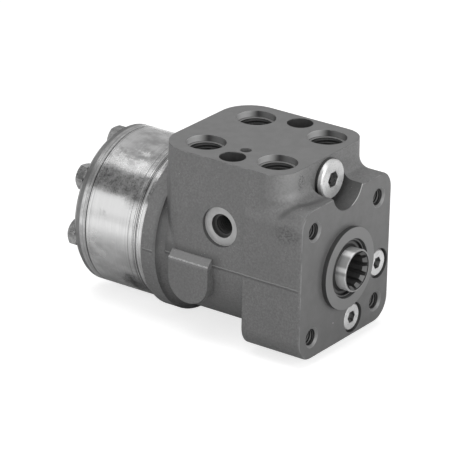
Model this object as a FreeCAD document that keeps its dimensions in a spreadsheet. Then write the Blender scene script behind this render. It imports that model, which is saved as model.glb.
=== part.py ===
import FreeCAD, Part
import math
import os
import Sketcher
from FreeCAD import Placement, Rotation, Vector

# A load sensing orbital steering unit: a cast iron housing holds a rotary valve, and a gear
# set bolted to its rear end meters the oil.
# The frame has its origin in the middle of the mounting flange's front face, on the axis of
# the spool. +Y runs back along that axis to the end cover, and +Z points up to the ports.

doc = FreeCAD.newDocument("orbital_steering_unit")
sheet = doc.addObject("Spreadsheet::Sheet", "Sizes")

# Driving dimensions in millimetres, degrees and counts, each with its alias and meaning
DIMENSIONS = [
    ("flange_half", 41.0, "half the width of the mounting flange, and its depth below the axis"),
    ("flange_top", 42.0, "height of the flange's top edge above the axis"),
    ("flange_corner", 10.5, "radius of the flange's upper corners"),
    ("flange_foot_corner", 12.0, "radius of the flange's lower corners"),
    ("flange_depth", 35.5, "depth of the flange block from its front face"),
    ("flange_edge", 1.2, "cast rounding of the flange's front edge"),
    ("mounting_circle", 82.5, "diameter of the circle of the four mounting holes"),
    ("mounting_drill", 8.6, "core diameter of the mounting threads"),
    ("mounting_mouth", 11.2, "diameter of the countersink at each mounting hole"),
    ("mounting_deep", 16.0, "depth of the mounting holes"),
    ("shoulder_fillet", 7.0, "cast rounding between the flange's top and the port block"),
    ("notch_radius", 14.0, "radius of the round notch in the flange's top, in front of the relief plug"),
    ("block_front", 13.5, "distance of the port block's front face from the flange face"),
    ("block_rear_step", 3.7, "distance of the port block's rear face from the housing's rear face"),
    ("block_height", 57.6, "height of the port face above the axis"),
    ("block_half", 41.0, "half the width of the port block at the axis"),
    ("block_draft", 2.0, "casting draft of the port block's sides, degrees"),
    ("block_corner", 13.0, "radius of the port block's upright front corners"),
    ("block_rear_corner", 18.0, "radius of the port block's upright rear corners"),
    ("barrel_radius", 40.9, "radius of the casting's round underside"),
    ("collar_radius", 45.0, "radius of the casting's rear collar"),
    ("collar_width", 9.0, "width of the rear collar"),
    ("collar_fillet", 4.0, "cast rounding between the round underside and the rear collar"),
    ("housing_length", 97.2, "distance of the housing's machined rear face from the flange face"),
    ("pad_proud", 4.0, "height of the flat cast pads on both sides above the block's width"),
    ("pad_width", 24.8, "width of a cast pad"),
    ("pad_rear_step", 30.2, "distance of the cast pads from the housing's rear face"),
    ("pad_depth", 10.4, "depth below the axis of the centre of a pad's round end"),
    ("pad_top", 3.6, "height of a pad's straight upper side above the axis"),
    ("pad_bevel", 3.4, "bevel along a pad's upper side"),
    ("pilot_radius", 22.0, "radius of the pilot boss round the spool"),
    ("pilot_height", 2.8, "height of the pilot boss above the flange face"),
    ("seal_pocket_radius", 16.0, "radius of the dust seal's pocket in the pilot boss"),
    ("seal_pocket_deep", 6.0, "depth of the dust seal's pocket from the pilot boss's face"),
    ("seal_web", 3.0, "thickness of the web between dust seal and shaft seal"),
    ("shaft_seal_radius", 17.0, "outer radius of the shaft seal"),
    ("shaft_seal_width", 5.0, "width of the shaft seal"),
    ("bore_radius", 19.0, "radius of the housing's main bore"),
    ("port_spacing_x", 44.4, "spacing of the four main ports across the axis"),
    ("port_spacing_y", 44.5, "spacing of the four main ports along the axis"),
    ("port_station", 50.9, "place of the middle of the port pattern along the axis"),
    ("port_mouth", 20.8, "diameter of a main port's sealing recess"),
    ("port_mouth_deep", 3.6, "depth of a main port's sealing recess"),
    ("port_drill", 17.5, "core diameter of a main port's thread"),
    ("port_deep", 17.0, "depth of the front left main port's threaded hole"),
    ("port_deep_step", 0.01, "how much less deep the other three main ports are"),
    ("gallery_drill", 7.0, "diameter of the oil galleries below the main ports"),
    ("gallery_shift", 4.5, "shift of each gallery along the axis from the middle of its port"),
    ("groove_radius", 23.5, "radius of the ring grooves in the main bore"),
    ("groove_width", 5.0, "width of the ring grooves in the main bore"),
    ("valve_bolt_spacing", 60.4, "spacing of the two bolt holes in the port face"),
    ("valve_bolt_mouth", 13.8, "diameter of their counterbores"),
    ("valve_bolt_mouth_deep", 8.0, "depth of their counterbores"),
    ("valve_bolt_drill", 8.6, "core diameter of their threads"),
    ("valve_bolt_deep", 22.0, "depth of the two bolt holes"),
    ("small_hole_x", -18.5, "place of the small gauge hole across the axis"),
    ("small_hole_diameter", 6.1, "diameter of the small gauge hole"),
    ("small_hole_deep", 12.0, "depth of the small gauge hole"),
    ("signal_height", 22.2, "height of the load signal port above the axis"),
    ("signal_seat", 21.3, "diameter of the spot face round the load signal port"),
    ("signal_seat_distance", 38.2, "distance of that spot face from the axis"),
    ("signal_mouth", 12.9, "diameter of the load signal port's mouth"),
    ("signal_mouth_deep", 2.4, "depth of the load signal port's mouth"),
    ("signal_drill", 10.0, "core diameter of the load signal port's thread"),
    ("signal_deep", 13.0, "depth of the load signal port"),
    ("relief_height", 46.0, "height of the relief valve's axis above the spool axis"),
    ("relief_plug_head", 20.8, "diameter of the relief plug's head"),
    ("relief_plug_head_height", 2.6, "height of the relief plug's head"),
    ("relief_plug_thread", 16.0, "diameter of the relief plug's thread"),
    ("relief_plug_reach", 9.0, "length of the relief plug's thread"),
    ("relief_washer_width", 1.5, "thickness of the relief plug's sealing washer"),
    ("relief_bore", 12.0, "diameter of the relief valve's bore"),
    ("relief_bore_end", 56.0, "distance of that bore's end from the flange face"),
    ("relief_seat_width", 6.0, "length of the relief valve's seat"),
    ("relief_way", 4.0, "diameter of the way through the relief valve's seat"),
    ("relief_spring_length", 13.0, "length of the relief valve's spring"),
    ("relief_travel", 2.0, "opening travel of the relief cone"),
    ("shock_circle_radius", 32.1, "distance of the two shock valves from the spool axis"),
    ("shock_angle", -45.0, "middle angle of the two shock valves, degrees from +X"),
    ("shock_spread", 30.0, "angle from that middle to each shock valve, degrees"),
    ("shock_pocket", 16.2, "diameter of the shock plugs' pockets"),
    ("shock_pocket_deep", 4.5, "depth of the shock plugs' pockets"),
    ("shock_plug_head", 15.1, "diameter of a shock plug's head"),
    ("shock_plug_sunk", 0.75, "depth of a shock plug's face below the flange face"),
    ("shock_plug_thread", 12.0, "diameter of a shock plug's thread"),
    ("shock_plug_reach", 8.0, "length of a shock plug's thread"),
    ("shock_bore", 9.0, "diameter of a shock valve's bore"),
    ("shock_bore_end", 36.0, "distance of that bore's end from the flange face"),
    ("shock_seat_width", 5.0, "length of a shock valve's seat"),
    ("shock_way", 3.6, "diameter of the way through a shock valve's seat"),
    ("shock_ball", 6.4, "diameter of a shock valve's ball"),
    ("shock_travel", 1.5, "opening travel of a shock valve's ball"),
    ("gear_radius", 42.64, "outer radius of the gear set, distributor plate and end cover"),
    ("plate_width", 5.5, "thickness of the distributor plate"),
    ("plate_bore", 24.0, "diameter of the distributor plate's centre hole"),
    ("plate_port_circle_radius", 27.0, "distance of the distributor plate's ports from the axis"),
    ("plate_port_diameter", 7.0, "diameter of the distributor plate's ports"),
    ("ring_width", 32.5, "width of the gear ring"),
    ("lobe_circle_radius", 36.5, "distance of the gear ring's lobe centres from the axis"),
    ("lobe_radius", 8.0, "radius of the gear ring's lobes"),
    ("lobe_count", 7, "lobes of the gear ring; the rotor has one tooth less"),
    ("eccentricity", 3.5, "distance of the rotor's centre from the axis"),
    ("cavity_gap", 0.15, "gap between a rotor tip and the gear ring's hollows"),
    ("rotor_gap", 0.06, "clearance of the rotor's profile"),
    ("rotor_end_gap", 0.03, "clearance of the rotor at each end"),
    ("cover_width", 8.6, "thickness of the end cover"),
    ("cover_straight", 6.3, "width of the end cover's straight rim"),
    ("cover_face_radius", 40.8, "radius of the end cover's rear face"),
    ("cover_edge", 1.2, "rounding of the end cover's rear edge"),
    ("screw_circle_radius", 34.4, "distance of the cover screws from the axis"),
    ("screw_count", 7, "cover screws, the one with the rolled pin included"),
    ("screw_diameter", 8.0, "diameter of a cover screw"),
    ("screw_hole", 8.5, "diameter of the screw holes in plate, ring and cover"),
    ("screw_reach", 12.0, "length of a cover screw inside the housing"),
    ("screw_hole_deep", 13.5, "depth of the tapped holes in the housing's rear face"),
    ("screw_head_flats", 13.0, "size across the flats of a cover screw's head"),
    ("screw_head_height", 5.3, "height of a cover screw's head"),
    ("washer_radius", 6.8, "outer radius of a cover screw's washer"),
    ("washer_width", 0.8, "thickness of a cover screw's washer"),
    ("screw_spot_deep", 0.6, "depth of the spot faces for the washers in the end cover"),
    ("check_drill", 6.8, "diameter of the suction check valve's bore behind one screw hole"),
    ("check_ball", 6.0, "diameter of the check ball"),
    ("check_travel", 1.8, "travel of the check ball"),
    ("check_way", 3.6, "diameter of the oil way below the check ball"),
    ("roll_pin_diameter", 3.0, "diameter of the rolled pin that stops the check ball"),
    ("roll_pin_reach", 4.5, "length of the rolled pin between screw end and ball"),
    ("face_ring_radius", 40.95, "radius of the middle of the face O-rings"),
    ("face_ring_section", 1.3, "thickness of the face O-rings"),
    ("face_groove_width", 1.5, "width of the face O-ring grooves"),
    ("face_groove_deep", 1.35, "depth of the face O-ring grooves"),
    ("bearing_radius", 18.6, "outer radius of the thrust bearing"),
    ("race_width", 1.2, "thickness of a bearing race"),
    ("needle_diameter", 2.0, "diameter of the bearing needles"),
    ("needle_length", 4.4, "length of the bearing needles"),
    ("needle_count", 20, "needles in the thrust bearing"),
    ("needle_gap", 0.05, "clearance between needles and races"),
    ("spool_radius", 15.0, "radius of the bore of the sleeve"),
    ("spool_bore", 21.0, "diameter of the spool's bore"),
    ("valve_rear_step", 3.5, "distance of spool and sleeve from the housing's rear face"),
    ("neck_radius", 11.3, "radius of the spool's neck"),
    ("neck_proud", 7.3, "distance of the spool's front end from the flange face"),
    ("neck_chamfer", 0.8, "chamfer of the spool's front end"),
    ("spline_count", 12, "teeth of the input spline and of the gear spline"),
    ("neck_edge", 0.3, "chamfer round the mouth of the spool's neck"),
    ("spline_lead", 2.6, "depth of the lead-in before the input spline's full teeth"),
    ("input_spline_minor", 8.8, "inner radius of the input spline's teeth"),
    ("input_spline_major", 10.35, "outer radius of the input spline's spaces"),
    ("input_spline_length", 22.0, "length of the input spline"),
    ("running_gap", 0.03, "radial clearance of spool and sleeve"),
    ("fit_gap", 0.05, "radial clearance of seals, seats and threaded pieces in their bores"),
    ("pin_station", 40.0, "place of the cross pin along the axis"),
    ("pin_radius", 3.3, "radius of the cross pin"),
    ("pin_slip", 8.0, "angle between spool and sleeve at full displacement, degrees"),
    ("spring_station", 21.0, "place of the centring springs along the axis"),
    ("spring_width", 6.0, "width of the leaf springs along the axis"),
    ("spring_pack", 3.6, "height of the slots for the leaf springs"),
    ("spring_leaf", 0.45, "thickness of a leaf spring"),
    ("spring_ring_depth", 0.9, "thickness of the ring that holds the leaf springs in the sleeve"),
    ("cardan_head_radius", 7.5, "radius of the cardan shaft's forked head"),
    ("cardan_radius", 6.2, "radius of the cardan shaft"),
    ("cardan_fork_front", 6.5, "length of the fork in front of the cross pin"),
    ("cardan_fork_back", 10.0, "length of the head behind the cross pin"),
    ("fork_gap", 0.15, "clearance of the cross pin in the fork"),
    ("gear_spline_minor", 8.3, "inner radius of the rotor's spline"),
    ("gear_spline_major", 10.0, "outer radius of the rotor's spline"),
    ("gear_spline_length", 12.0, "length of the cardan shaft's teeth"),
    ("gear_spline_gap", 0.45, "clearance between the cardan shaft's and the rotor's teeth"),
    ("spacer_length", 11.0, "length of the spacer between cardan shaft and end cover"),
    ("spacer_gap", 0.3, "clearance of the spacer in the rotor's spline"),
]


# Lengths worked out from the sheet
class Size:
    """A length with its number and the expression that works it out from the sheet."""

    def __init__(self, value, text):
        self.value = float(value)
        self.text = text

    def joined(self, other, sign, value, turned=False):
        first, second = (other, self) if turned else (self, other)
        return Size(value, f"({first.text} {sign} {second.text})")

    def __add__(self, other):
        other = as_size(other)
        return self.joined(other, "+", self.value + other.value)

    def __sub__(self, other):
        other = as_size(other)
        return self.joined(other, "-", self.value - other.value)

    def __mul__(self, other):
        other = as_size(other)
        return self.joined(other, "*", self.value * other.value)

    def __truediv__(self, other):
        other = as_size(other)
        return self.joined(other, "/", self.value / other.value)

    def __rsub__(self, other):
        other = as_size(other)
        return self.joined(other, "-", other.value - self.value, turned=True)

    def __neg__(self):
        return Size(-self.value, f"(-1 * {self.text})")

    __radd__ = __add__
    __rmul__ = __mul__


def as_size(number):
    return number if isinstance(number, Size) else Size(number, repr(float(number)))


def cosine(angle):
    return Size(math.cos(math.radians(angle.value)), f"cos({angle.text} * 1deg)")


def sine(angle):
    return Size(math.sin(math.radians(angle.value)), f"sin({angle.text} * 1deg)")


def tangent(angle):
    return Size(math.tan(math.radians(angle.value)), f"tan({angle.text} * 1deg)")


class Named:
    """The sheet's sizes, each under its alias."""


s = Named()
sheet.set("A1", "size")
sheet.set("B1", "value")
sheet.set("C1", "meaning")
for row, (alias, number, meaning) in enumerate(DIMENSIONS, start=2):
    sheet.set(f"A{row}", alias)
    sheet.set(f"B{row}", str(number))
    sheet.set(f"C{row}", meaning)
    sheet.setAlias(f"B{row}", alias)
doc.recompute()
for alias, number, meaning in DIMENSIONS:
    setattr(s, alias, Size(sheet.get(alias), f"Sizes.{alias}"))

nodes = []


# Sketches and features
def new_body(name):
    body = doc.addObject("PartDesign::Body", name)
    body.Label = name
    return body


def bind(thing, path, size):
    if isinstance(size, Size):
        thing.setExpression(path, size.text)


def new_sketch(body, role, offset=0.0):
    """A sketch on one of the body's origin planes, moved along the plane's normal."""
    sketch = body.newObject("Sketcher::SketchObject", "Sketch")
    plane = next(item for item in body.Origin.OriginFeatures if item.Role == role)
    sketch.AttachmentSupport = [(plane, "")]
    sketch.MapMode = "FlatFace"
    sketch.AttachmentOffset = Placement(Vector(0, 0, as_size(offset).value), Rotation())
    bind(sketch, "AttachmentOffset.Base.z", offset)
    return sketch


def hold(sketch, geometry, point, u, v):
    """Dimensions from the sketch's origin to a point of its geometry."""
    for kind, size in (("DistanceX", u), ("DistanceY", v)):
        number = as_size(size).value
        place = sketch.addConstraint(Sketcher.Constraint(kind, -1, 1, geometry, point, number))
        bind(sketch, f"Constraints[{place}]", size)


def outline(sketch, corners):
    """A closed run of straight lines through the corners."""
    first = sketch.GeometryCount
    count = len(corners)
    places = [Vector(as_size(u).value, as_size(v).value, 0) for u, v in corners]
    for i in range(count):
        sketch.addGeometry(Part.LineSegment(places[i], places[(i + 1) % count]))
    for i in range(count):
        after = first + (i + 1) % count
        sketch.addConstraint(Sketcher.Constraint("Coincident", first + i, 2, after, 1))
    for i, (u, v) in enumerate(corners):
        hold(sketch, first + i, 1, u, v)


def rectangle(sketch, low_u, low_v, high_u, high_v):
    outline(sketch, [(low_u, low_v), (high_u, low_v), (high_u, high_v), (low_u, high_v)])


def round_ended(sketch, u, v, radius, top):
    """A strip with a straight top and a half round lower end, whose centre is at u, v."""
    left, right = u - radius, u + radius
    corners = [(left, v), (left, top), (right, top), (right, v)]
    places = [Vector(as_size(a).value, as_size(b).value, 0) for a, b in corners]
    centre = Vector(u.value, v.value, 0)
    for first, second in zip(places, places[1:]):
        sketch.addGeometry(Part.LineSegment(first, second))
    round_end = Part.ArcOfCircle(Part.Circle(centre, Vector(0, 0, 1), radius.value), math.pi, 2 * math.pi)
    arc = sketch.addGeometry(round_end)
    for number in range(2):
        sketch.addConstraint(Sketcher.Constraint("Coincident", number, 2, number + 1, 1))
    sketch.addConstraint(Sketcher.Constraint("Coincident", arc, 1, 0, 1))
    sketch.addConstraint(Sketcher.Constraint("Coincident", arc, 2, 2, 2))
    for number, (a, b) in enumerate(corners[:3]):
        hold(sketch, number, 1, a, b)
    hold(sketch, 2, 2, *corners[3])
    rule = Sketcher.Constraint("DistanceY", -1, 1, arc, 3, v.value)
    bind(sketch, f"Constraints[{sketch.addConstraint(rule)}]", v)


def circle(sketch, u, v, radius):
    centre = Vector(as_size(u).value, as_size(v).value, 0)
    drawn = sketch.addGeometry(Part.Circle(centre, Vector(0, 0, 1), as_size(radius).value))
    hold(sketch, drawn, 3, u, v)
    rule = Sketcher.Constraint("Radius", drawn, as_size(radius).value)
    bind(sketch, f"Constraints[{sketch.addConstraint(rule)}]", radius)


def extrude(body, kind, sketch, length, turned=False, midplane=False):
    feature = body.newObject("PartDesign::" + kind, kind)
    feature.Profile = sketch
    feature.Length = as_size(length).value
    bind(feature, "Length", length)
    feature.Reversed = turned
    if midplane:
        feature.SideType = "Symmetric"
    sketch.Visibility = False
    return feature


def turn(body, kind, *profiles):
    """A full turn about the body's Y axis of profiles given as (place along Y, radius)."""
    sketch = new_sketch(body, "YZ_Plane")
    for profile in profiles:
        outline(sketch, profile)
    feature = body.newObject("PartDesign::" + kind, kind)
    feature.Profile = sketch
    feature.ReferenceAxis = (sketch, ["H_Axis"])
    feature.Angle = 360
    return feature


def around_axis(body, feature, count):
    """Copies of a feature at even angles about the body's Y axis."""
    pattern = body.newObject("PartDesign::PolarPattern", "PolarPattern")
    pattern.Originals = [feature]
    axis = next(item for item in body.Origin.OriginFeatures if item.Role == "Y_Axis")
    pattern.Axis = (axis, [""])
    pattern.Angle = 360
    pattern.Occurrences = round(as_size(count).value)
    bind(pattern, "Occurrences", count)
    body.Tip = pattern
    return pattern


def dress(body, kind, size, wanted):
    """A fillet or chamfer on the edges of the body's last feature that the test picks."""
    doc.recompute()
    base = body.Tip
    names = [f"Edge{i}" for i, edge in enumerate(base.Shape.Edges, start=1) if wanted(edge)]
    feature = body.newObject("PartDesign::" + kind, kind)
    feature.Base = (base, names)
    path = "Radius" if kind == "Fillet" else "Size"
    setattr(feature, path, as_size(size).value)
    bind(feature, path, size)
    return feature


def near(first, second, slack=0.01):
    return abs(as_size(first).value - as_size(second).value) < slack


def runs_along(edge, axis):
    """Whether an edge is straight and parallel to an axis, numbered 0 to 2."""
    ends = [vertex.Point for vertex in edge.Vertexes]
    if edge.Curve.TypeId != "Part::GeomLine" or len(ends) < 2:
        return False
    step = ends[1] - ends[0]
    return all(abs(step[i]) < 0.001 for i in range(3) if i != axis)


def move(body, x, y, z):
    place = Vector(*[as_size(part).value for part in (x, y, z)])
    body.Placement = Placement(place, body.Placement.Rotation)
    for letter, part in zip("xyz", (x, y, z)):
        bind(body, f"Placement.Base.{letter}", part)


def keep(thing, name=None):
    """Marks an object as a finished sub-part."""
    if name:
        thing.Label = name
    nodes.append(thing)
    return thing


def shaped(name, shape):
    """A sub-part whose shape comes straight from a formula or from copies of one piece."""
    thing = doc.addObject("Part::Feature", name)
    thing.Shape = shape
    return keep(thing, name)


def turned_piece(name, *profile):
    body = new_body(name)
    turn(body, "Revolution", list(profile))
    return keep(body)


def polar_place(place, angle):
    """Distances across and up of a point at a distance and an angle from the axis."""
    return place * cosine(angle), place * sine(angle)


# Stations along the axis, each from the sizes of what lies in front of it
plate_front = s.housing_length
ring_front = plate_front + s.plate_width
cover_front = ring_front + s.ring_width
cover_back = cover_front + s.cover_width
seal_pocket_end = s.seal_pocket_deep - s.pilot_height
shaft_seal_front = seal_pocket_end + s.seal_web
bearing_front = shaft_seal_front + s.shaft_seal_width
needle_front = bearing_front + s.race_width + s.needle_gap
moving_race_front = needle_front + s.needle_diameter + s.needle_gap
valve_front = moving_race_front + s.race_width
valve_back = s.housing_length - s.valve_rear_step
web_bore = s.neck_radius + s.seal_web / 3
port_near = s.port_station - s.port_spacing_y / 2
port_far = s.port_station + s.port_spacing_y / 2
port_side = s.port_spacing_x / 2
first_screw_angle = 90.0
screw_step = 360.0 / s.screw_count.value


# The housing: one iron casting, machined on its faces and bores
def port_places():
    """The four ports, each with its place and the shifted place of its gallery."""
    for x, shift in ((-port_side, -s.gallery_shift), (port_side, s.gallery_shift)):
        for y in (port_near, port_far):
            yield x, y, y + shift


def shock_places():
    for side in (-1, 1):
        yield polar_place(s.shock_circle_radius, s.shock_angle + side * s.shock_spread)


def make_housing():
    body = new_body("housing")

    # Mounting flange with rounded corners
    sketch = new_sketch(body, "XZ_Plane")
    rectangle(sketch, -s.flange_half, -s.flange_half, s.flange_half, s.flange_top)
    extrude(body, "Pad", sketch, s.flange_depth, turned=True)
    for radius, height in ((s.flange_corner, s.flange_top), (s.flange_foot_corner, -s.flange_half)):
        dress(body, "Fillet", radius, lambda edge: (
            runs_along(edge, 1) and near(edge.BoundBox.ZMax, height)
            and near(abs(edge.BoundBox.XMax), s.flange_half)))
    dress(body, "Fillet", s.flange_edge, lambda edge: edge.BoundBox.YMax < 0.001)

    # Port block: sides with casting draft, upright corners well rounded
    block_back = s.housing_length - s.block_rear_step
    sketch = new_sketch(body, "XZ_Plane", -s.block_front)
    top_half = s.block_half - s.block_height * tangent(s.block_draft)
    outline(sketch, [(-s.block_half, 0.0), (s.block_half, 0.0),
                     (top_half, s.block_height), (-top_half, s.block_height)])
    extrude(body, "Pad", sketch, block_back - s.block_front, turned=True)
    for radius, end in ((s.block_corner, s.block_front), (s.block_rear_corner, block_back)):
        dress(body, "Fillet", radius, lambda edge: (
            near(edge.BoundBox.YMin, end) and near(edge.BoundBox.YMax, end)
            and near(edge.BoundBox.ZMax, s.block_height) and edge.BoundBox.ZMin < s.flange_top.value + 1))

    dress(body, "Fillet", s.shoulder_fillet, lambda edge: (
        edge.BoundBox.YMin > s.block_front.value - 0.01
        and edge.BoundBox.YMax < s.flange_depth.value - 0.01
        and edge.BoundBox.ZMin > s.flange_top.value / 2
        and edge.BoundBox.ZMax < s.flange_top.value + 0.01))

    # Round underside, and the rear collar that carries the gear set, with a rounded inner corner
    collar_front = s.housing_length - s.collar_width
    turns = [math.radians(angle) for angle in range(0, 91, 15)]
    rounding = [(collar_front - s.collar_fillet * (1 - math.sin(a)),
                 s.barrel_radius + s.collar_fillet * (1 - math.cos(a))) for a in turns]
    turn(body, "Revolution", [(s.block_front, 0.0), (s.block_front, s.barrel_radius)] + rounding + [
        (collar_front, s.collar_radius), (s.housing_length, s.collar_radius),
        (s.housing_length, 0.0)])

    # Flat cast pads on both sides, with a round lower end
    pad_reach = s.block_half + s.pad_proud
    sketch = new_sketch(body, "YZ_Plane")
    round_ended(sketch, s.housing_length - s.pad_rear_step, -s.pad_depth, s.pad_width / 2, s.pad_top)
    extrude(body, "Pad", sketch, pad_reach * 2, midplane=True)
    dress(body, "Chamfer", s.pad_bevel, lambda edge: (
        runs_along(edge, 1) and near(edge.BoundBox.ZMax, s.pad_top)
        and near(max(abs(edge.BoundBox.XMin), abs(edge.BoundBox.XMax)), pad_reach)))

    # Pilot boss round the spool
    sketch = new_sketch(body, "XZ_Plane")
    circle(sketch, 0.0, 0.0, s.pilot_radius)
    extrude(body, "Pad", sketch, s.pilot_height)

    # Round notch in the flange's top edge
    sketch = new_sketch(body, "XZ_Plane")
    circle(sketch, 0.0, s.relief_height, s.notch_radius)
    extrude(body, "Pocket", sketch, s.block_front)

    # Main bore with the seats of seals and bearing, then its ring grooves
    turn(body, "Groove", [
        (-s.pilot_height, 0.0), (-s.pilot_height, s.seal_pocket_radius),
        (seal_pocket_end, s.seal_pocket_radius), (seal_pocket_end, web_bore),
        (shaft_seal_front, web_bore), (shaft_seal_front, s.shaft_seal_radius),
        (bearing_front, s.shaft_seal_radius), (bearing_front, s.bore_radius),
        (s.housing_length, s.bore_radius), (s.housing_length, 0.0)])
    half = s.groove_width / 2
    rings = []
    for station in (port_near, port_far):
        for shift in (-s.gallery_shift, s.gallery_shift):
            low, high = station + shift - half, station + shift + half
            rings.append([(low, s.spool_radius), (low, s.groove_radius),
                          (high, s.groove_radius), (high, s.spool_radius)])
    turn(body, "Groove", *rings)

    # Ports, bolt holes and gauge hole in the top face
    places = list(port_places())
    for radius, depth, chosen in ((s.port_mouth / 2, s.port_mouth_deep, places),
                                  (s.port_drill / 2, s.port_deep, places[:1]),
                                  (s.port_drill / 2, s.port_deep - s.port_deep_step, places[1:])):
        sketch = new_sketch(body, "XY_Plane", s.block_height)
        for x, y, gallery_y in chosen:
            circle(sketch, x, y, radius)
        extrude(body, "Pocket", sketch, depth)
    sketch = new_sketch(body, "XY_Plane", s.block_height)
    for x, y, gallery_y in places:
        inward = -1 if x.value > 0 else 1
        circle(sketch, x + inward * (s.port_drill - s.gallery_drill) / 8, gallery_y,
               s.gallery_drill / 2)
    extrude(body, "Pocket", sketch, s.block_height - s.groove_radius / 4)
    side = s.valve_bolt_spacing / 2
    for radius, depth in ((s.valve_bolt_mouth / 2, s.valve_bolt_mouth_deep),
                          (s.valve_bolt_drill / 2, s.valve_bolt_deep)):
        sketch = new_sketch(body, "XY_Plane", s.block_height)
        for x in (-side, side):
            circle(sketch, x, s.port_station, radius)
        extrude(body, "Pocket", sketch, depth)
    sketch = new_sketch(body, "XY_Plane", s.block_height)
    circle(sketch, s.small_hole_x, s.port_station, s.small_hole_diameter / 2)
    extrude(body, "Pocket", sketch, s.small_hole_deep)

    # Load signal port in the left side, behind a machined spot face
    sketch = new_sketch(body, "YZ_Plane", -s.signal_seat_distance)
    circle(sketch, s.port_station, s.signal_height, s.signal_seat / 2)
    extrude(body, "Pocket", sketch, pad_reach - s.signal_seat_distance)
    for radius, depth in ((s.signal_mouth / 2, s.signal_mouth_deep), (s.signal_drill / 2, s.signal_deep)):
        sketch = new_sketch(body, "YZ_Plane", -s.signal_seat_distance)
        circle(sketch, s.port_station, s.signal_height, radius)
        extrude(body, "Pocket", sketch, depth, turned=True)

    # Relief valve bore from the port block's front face
    for radius, end in ((s.relief_plug_thread / 2, s.block_front + s.relief_plug_reach + s.fit_gap),
                        (s.relief_bore / 2, s.relief_bore_end),
                        (s.relief_way / 2, s.relief_bore_end + s.relief_seat_width)):
        sketch = new_sketch(body, "XZ_Plane", -s.block_front)
        circle(sketch, 0.0, s.relief_height, radius + s.fit_gap)
        extrude(body, "Pocket", sketch, end - s.block_front)

    # Shock valve bores from the flange face
    for radius, end in ((s.shock_pocket / 2, s.shock_pocket_deep),
                        (s.shock_plug_thread / 2 + s.fit_gap, s.shock_pocket_deep + s.shock_plug_reach),
                        (s.shock_bore / 2 + s.fit_gap, s.shock_bore_end),
                        (s.shock_way / 2, s.shock_bore_end + s.shock_seat_width)):
        sketch = new_sketch(body, "XZ_Plane")
        for x, z in shock_places():
            circle(sketch, x, z, radius)
        extrude(body, "Pocket", sketch, end)

    # Four mounting holes on one circle, countersunk
    corner = Size(math.sqrt(0.5), "sqrt(0.5)") * s.mounting_circle / 2
    corners = [(x, z) for x in (-corner, corner) for z in (-corner, corner)]
    sketch = new_sketch(body, "XZ_Plane")
    for x, z in corners:
        circle(sketch, x, z, s.mounting_drill / 2)
    extrude(body, "Pocket", sketch, s.mounting_deep)

    def mounting_mouth(edge):
        flat = edge.BoundBox.YMax < 0.001
        round_edge = edge.Curve.TypeId == "Part::GeomCircle"
        return flat and round_edge and near(edge.Curve.Radius, s.mounting_drill / 2)

    dress(body, "Chamfer", (s.mounting_mouth - s.mounting_drill) / 2, mounting_mouth)

    # Tapped holes for the cover screws in the rear face, and the groove of the face O-ring
    sketch = new_sketch(body, "XZ_Plane", -s.housing_length)
    circle(sketch, 0.0, s.screw_circle_radius, s.screw_diameter / 2 + s.fit_gap)
    around_axis(body, extrude(body, "Pocket", sketch, s.screw_hole_deep, turned=True), s.screw_count)
    turn(body, "Groove", face_groove(s.housing_length, -1))

    # Bore of the suction check valve, deeper in one of the tapped holes
    x, z = polar_place(s.screw_circle_radius, check_angle)
    hole_end = s.housing_length - s.screw_hole_deep
    for radius, end in ((s.check_drill / 2, check_seat), (s.check_way / 2, check_seat - s.check_ball)):
        sketch = new_sketch(body, "XZ_Plane", -hole_end)
        circle(sketch, x, z, radius)
        extrude(body, "Pocket", sketch, hole_end - end, turned=True)
    return keep(body)


def face_groove(face, side):
    """Profile of an O-ring groove that opens in a face, on the side given by the sign."""
    low, high = s.face_ring_radius - s.face_groove_width / 2, s.face_ring_radius + s.face_groove_width / 2
    floor = face + side * s.face_groove_deep
    return [(face, low), (floor, low), (floor, high), (face, high)]


# The screw with the rolled pin is the one at the lower left of the rear face
pin_screw_number = 3
check_angle = Size(first_screw_angle + pin_screw_number * screw_step,
                   f"({first_screw_angle} + {pin_screw_number} * 360 / Sizes.screw_count)")
roll_pin_front = s.housing_length - s.screw_reach - s.roll_pin_reach
check_ball_place = roll_pin_front - s.check_travel - s.check_ball / 2
check_seat = check_ball_place - s.check_ball / 2

make_housing()


# Seals at the front of the spool
lip = s.neck_radius + s.fit_gap
dust_face = -s.pilot_height + s.seal_web / 2
turned_piece(
    "dust_seal",
    (dust_face, s.seal_pocket_radius - s.fit_gap), (seal_pocket_end, s.seal_pocket_radius - s.fit_gap),
    (seal_pocket_end, lip + s.seal_web / 3), (dust_face + s.seal_web / 2, lip),
    (dust_face, lip), (dust_face + s.seal_web / 2, lip + s.seal_web / 2),
    (dust_face + s.seal_web / 2, s.seal_pocket_radius - s.seal_web / 2),
    (dust_face, s.seal_pocket_radius - s.seal_web / 2))
turned_piece(
    "shaft_seal",
    (shaft_seal_front, lip), (bearing_front, lip),
    (bearing_front, s.shaft_seal_radius - s.fit_gap), (shaft_seal_front, s.shaft_seal_radius - s.fit_gap))


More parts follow.
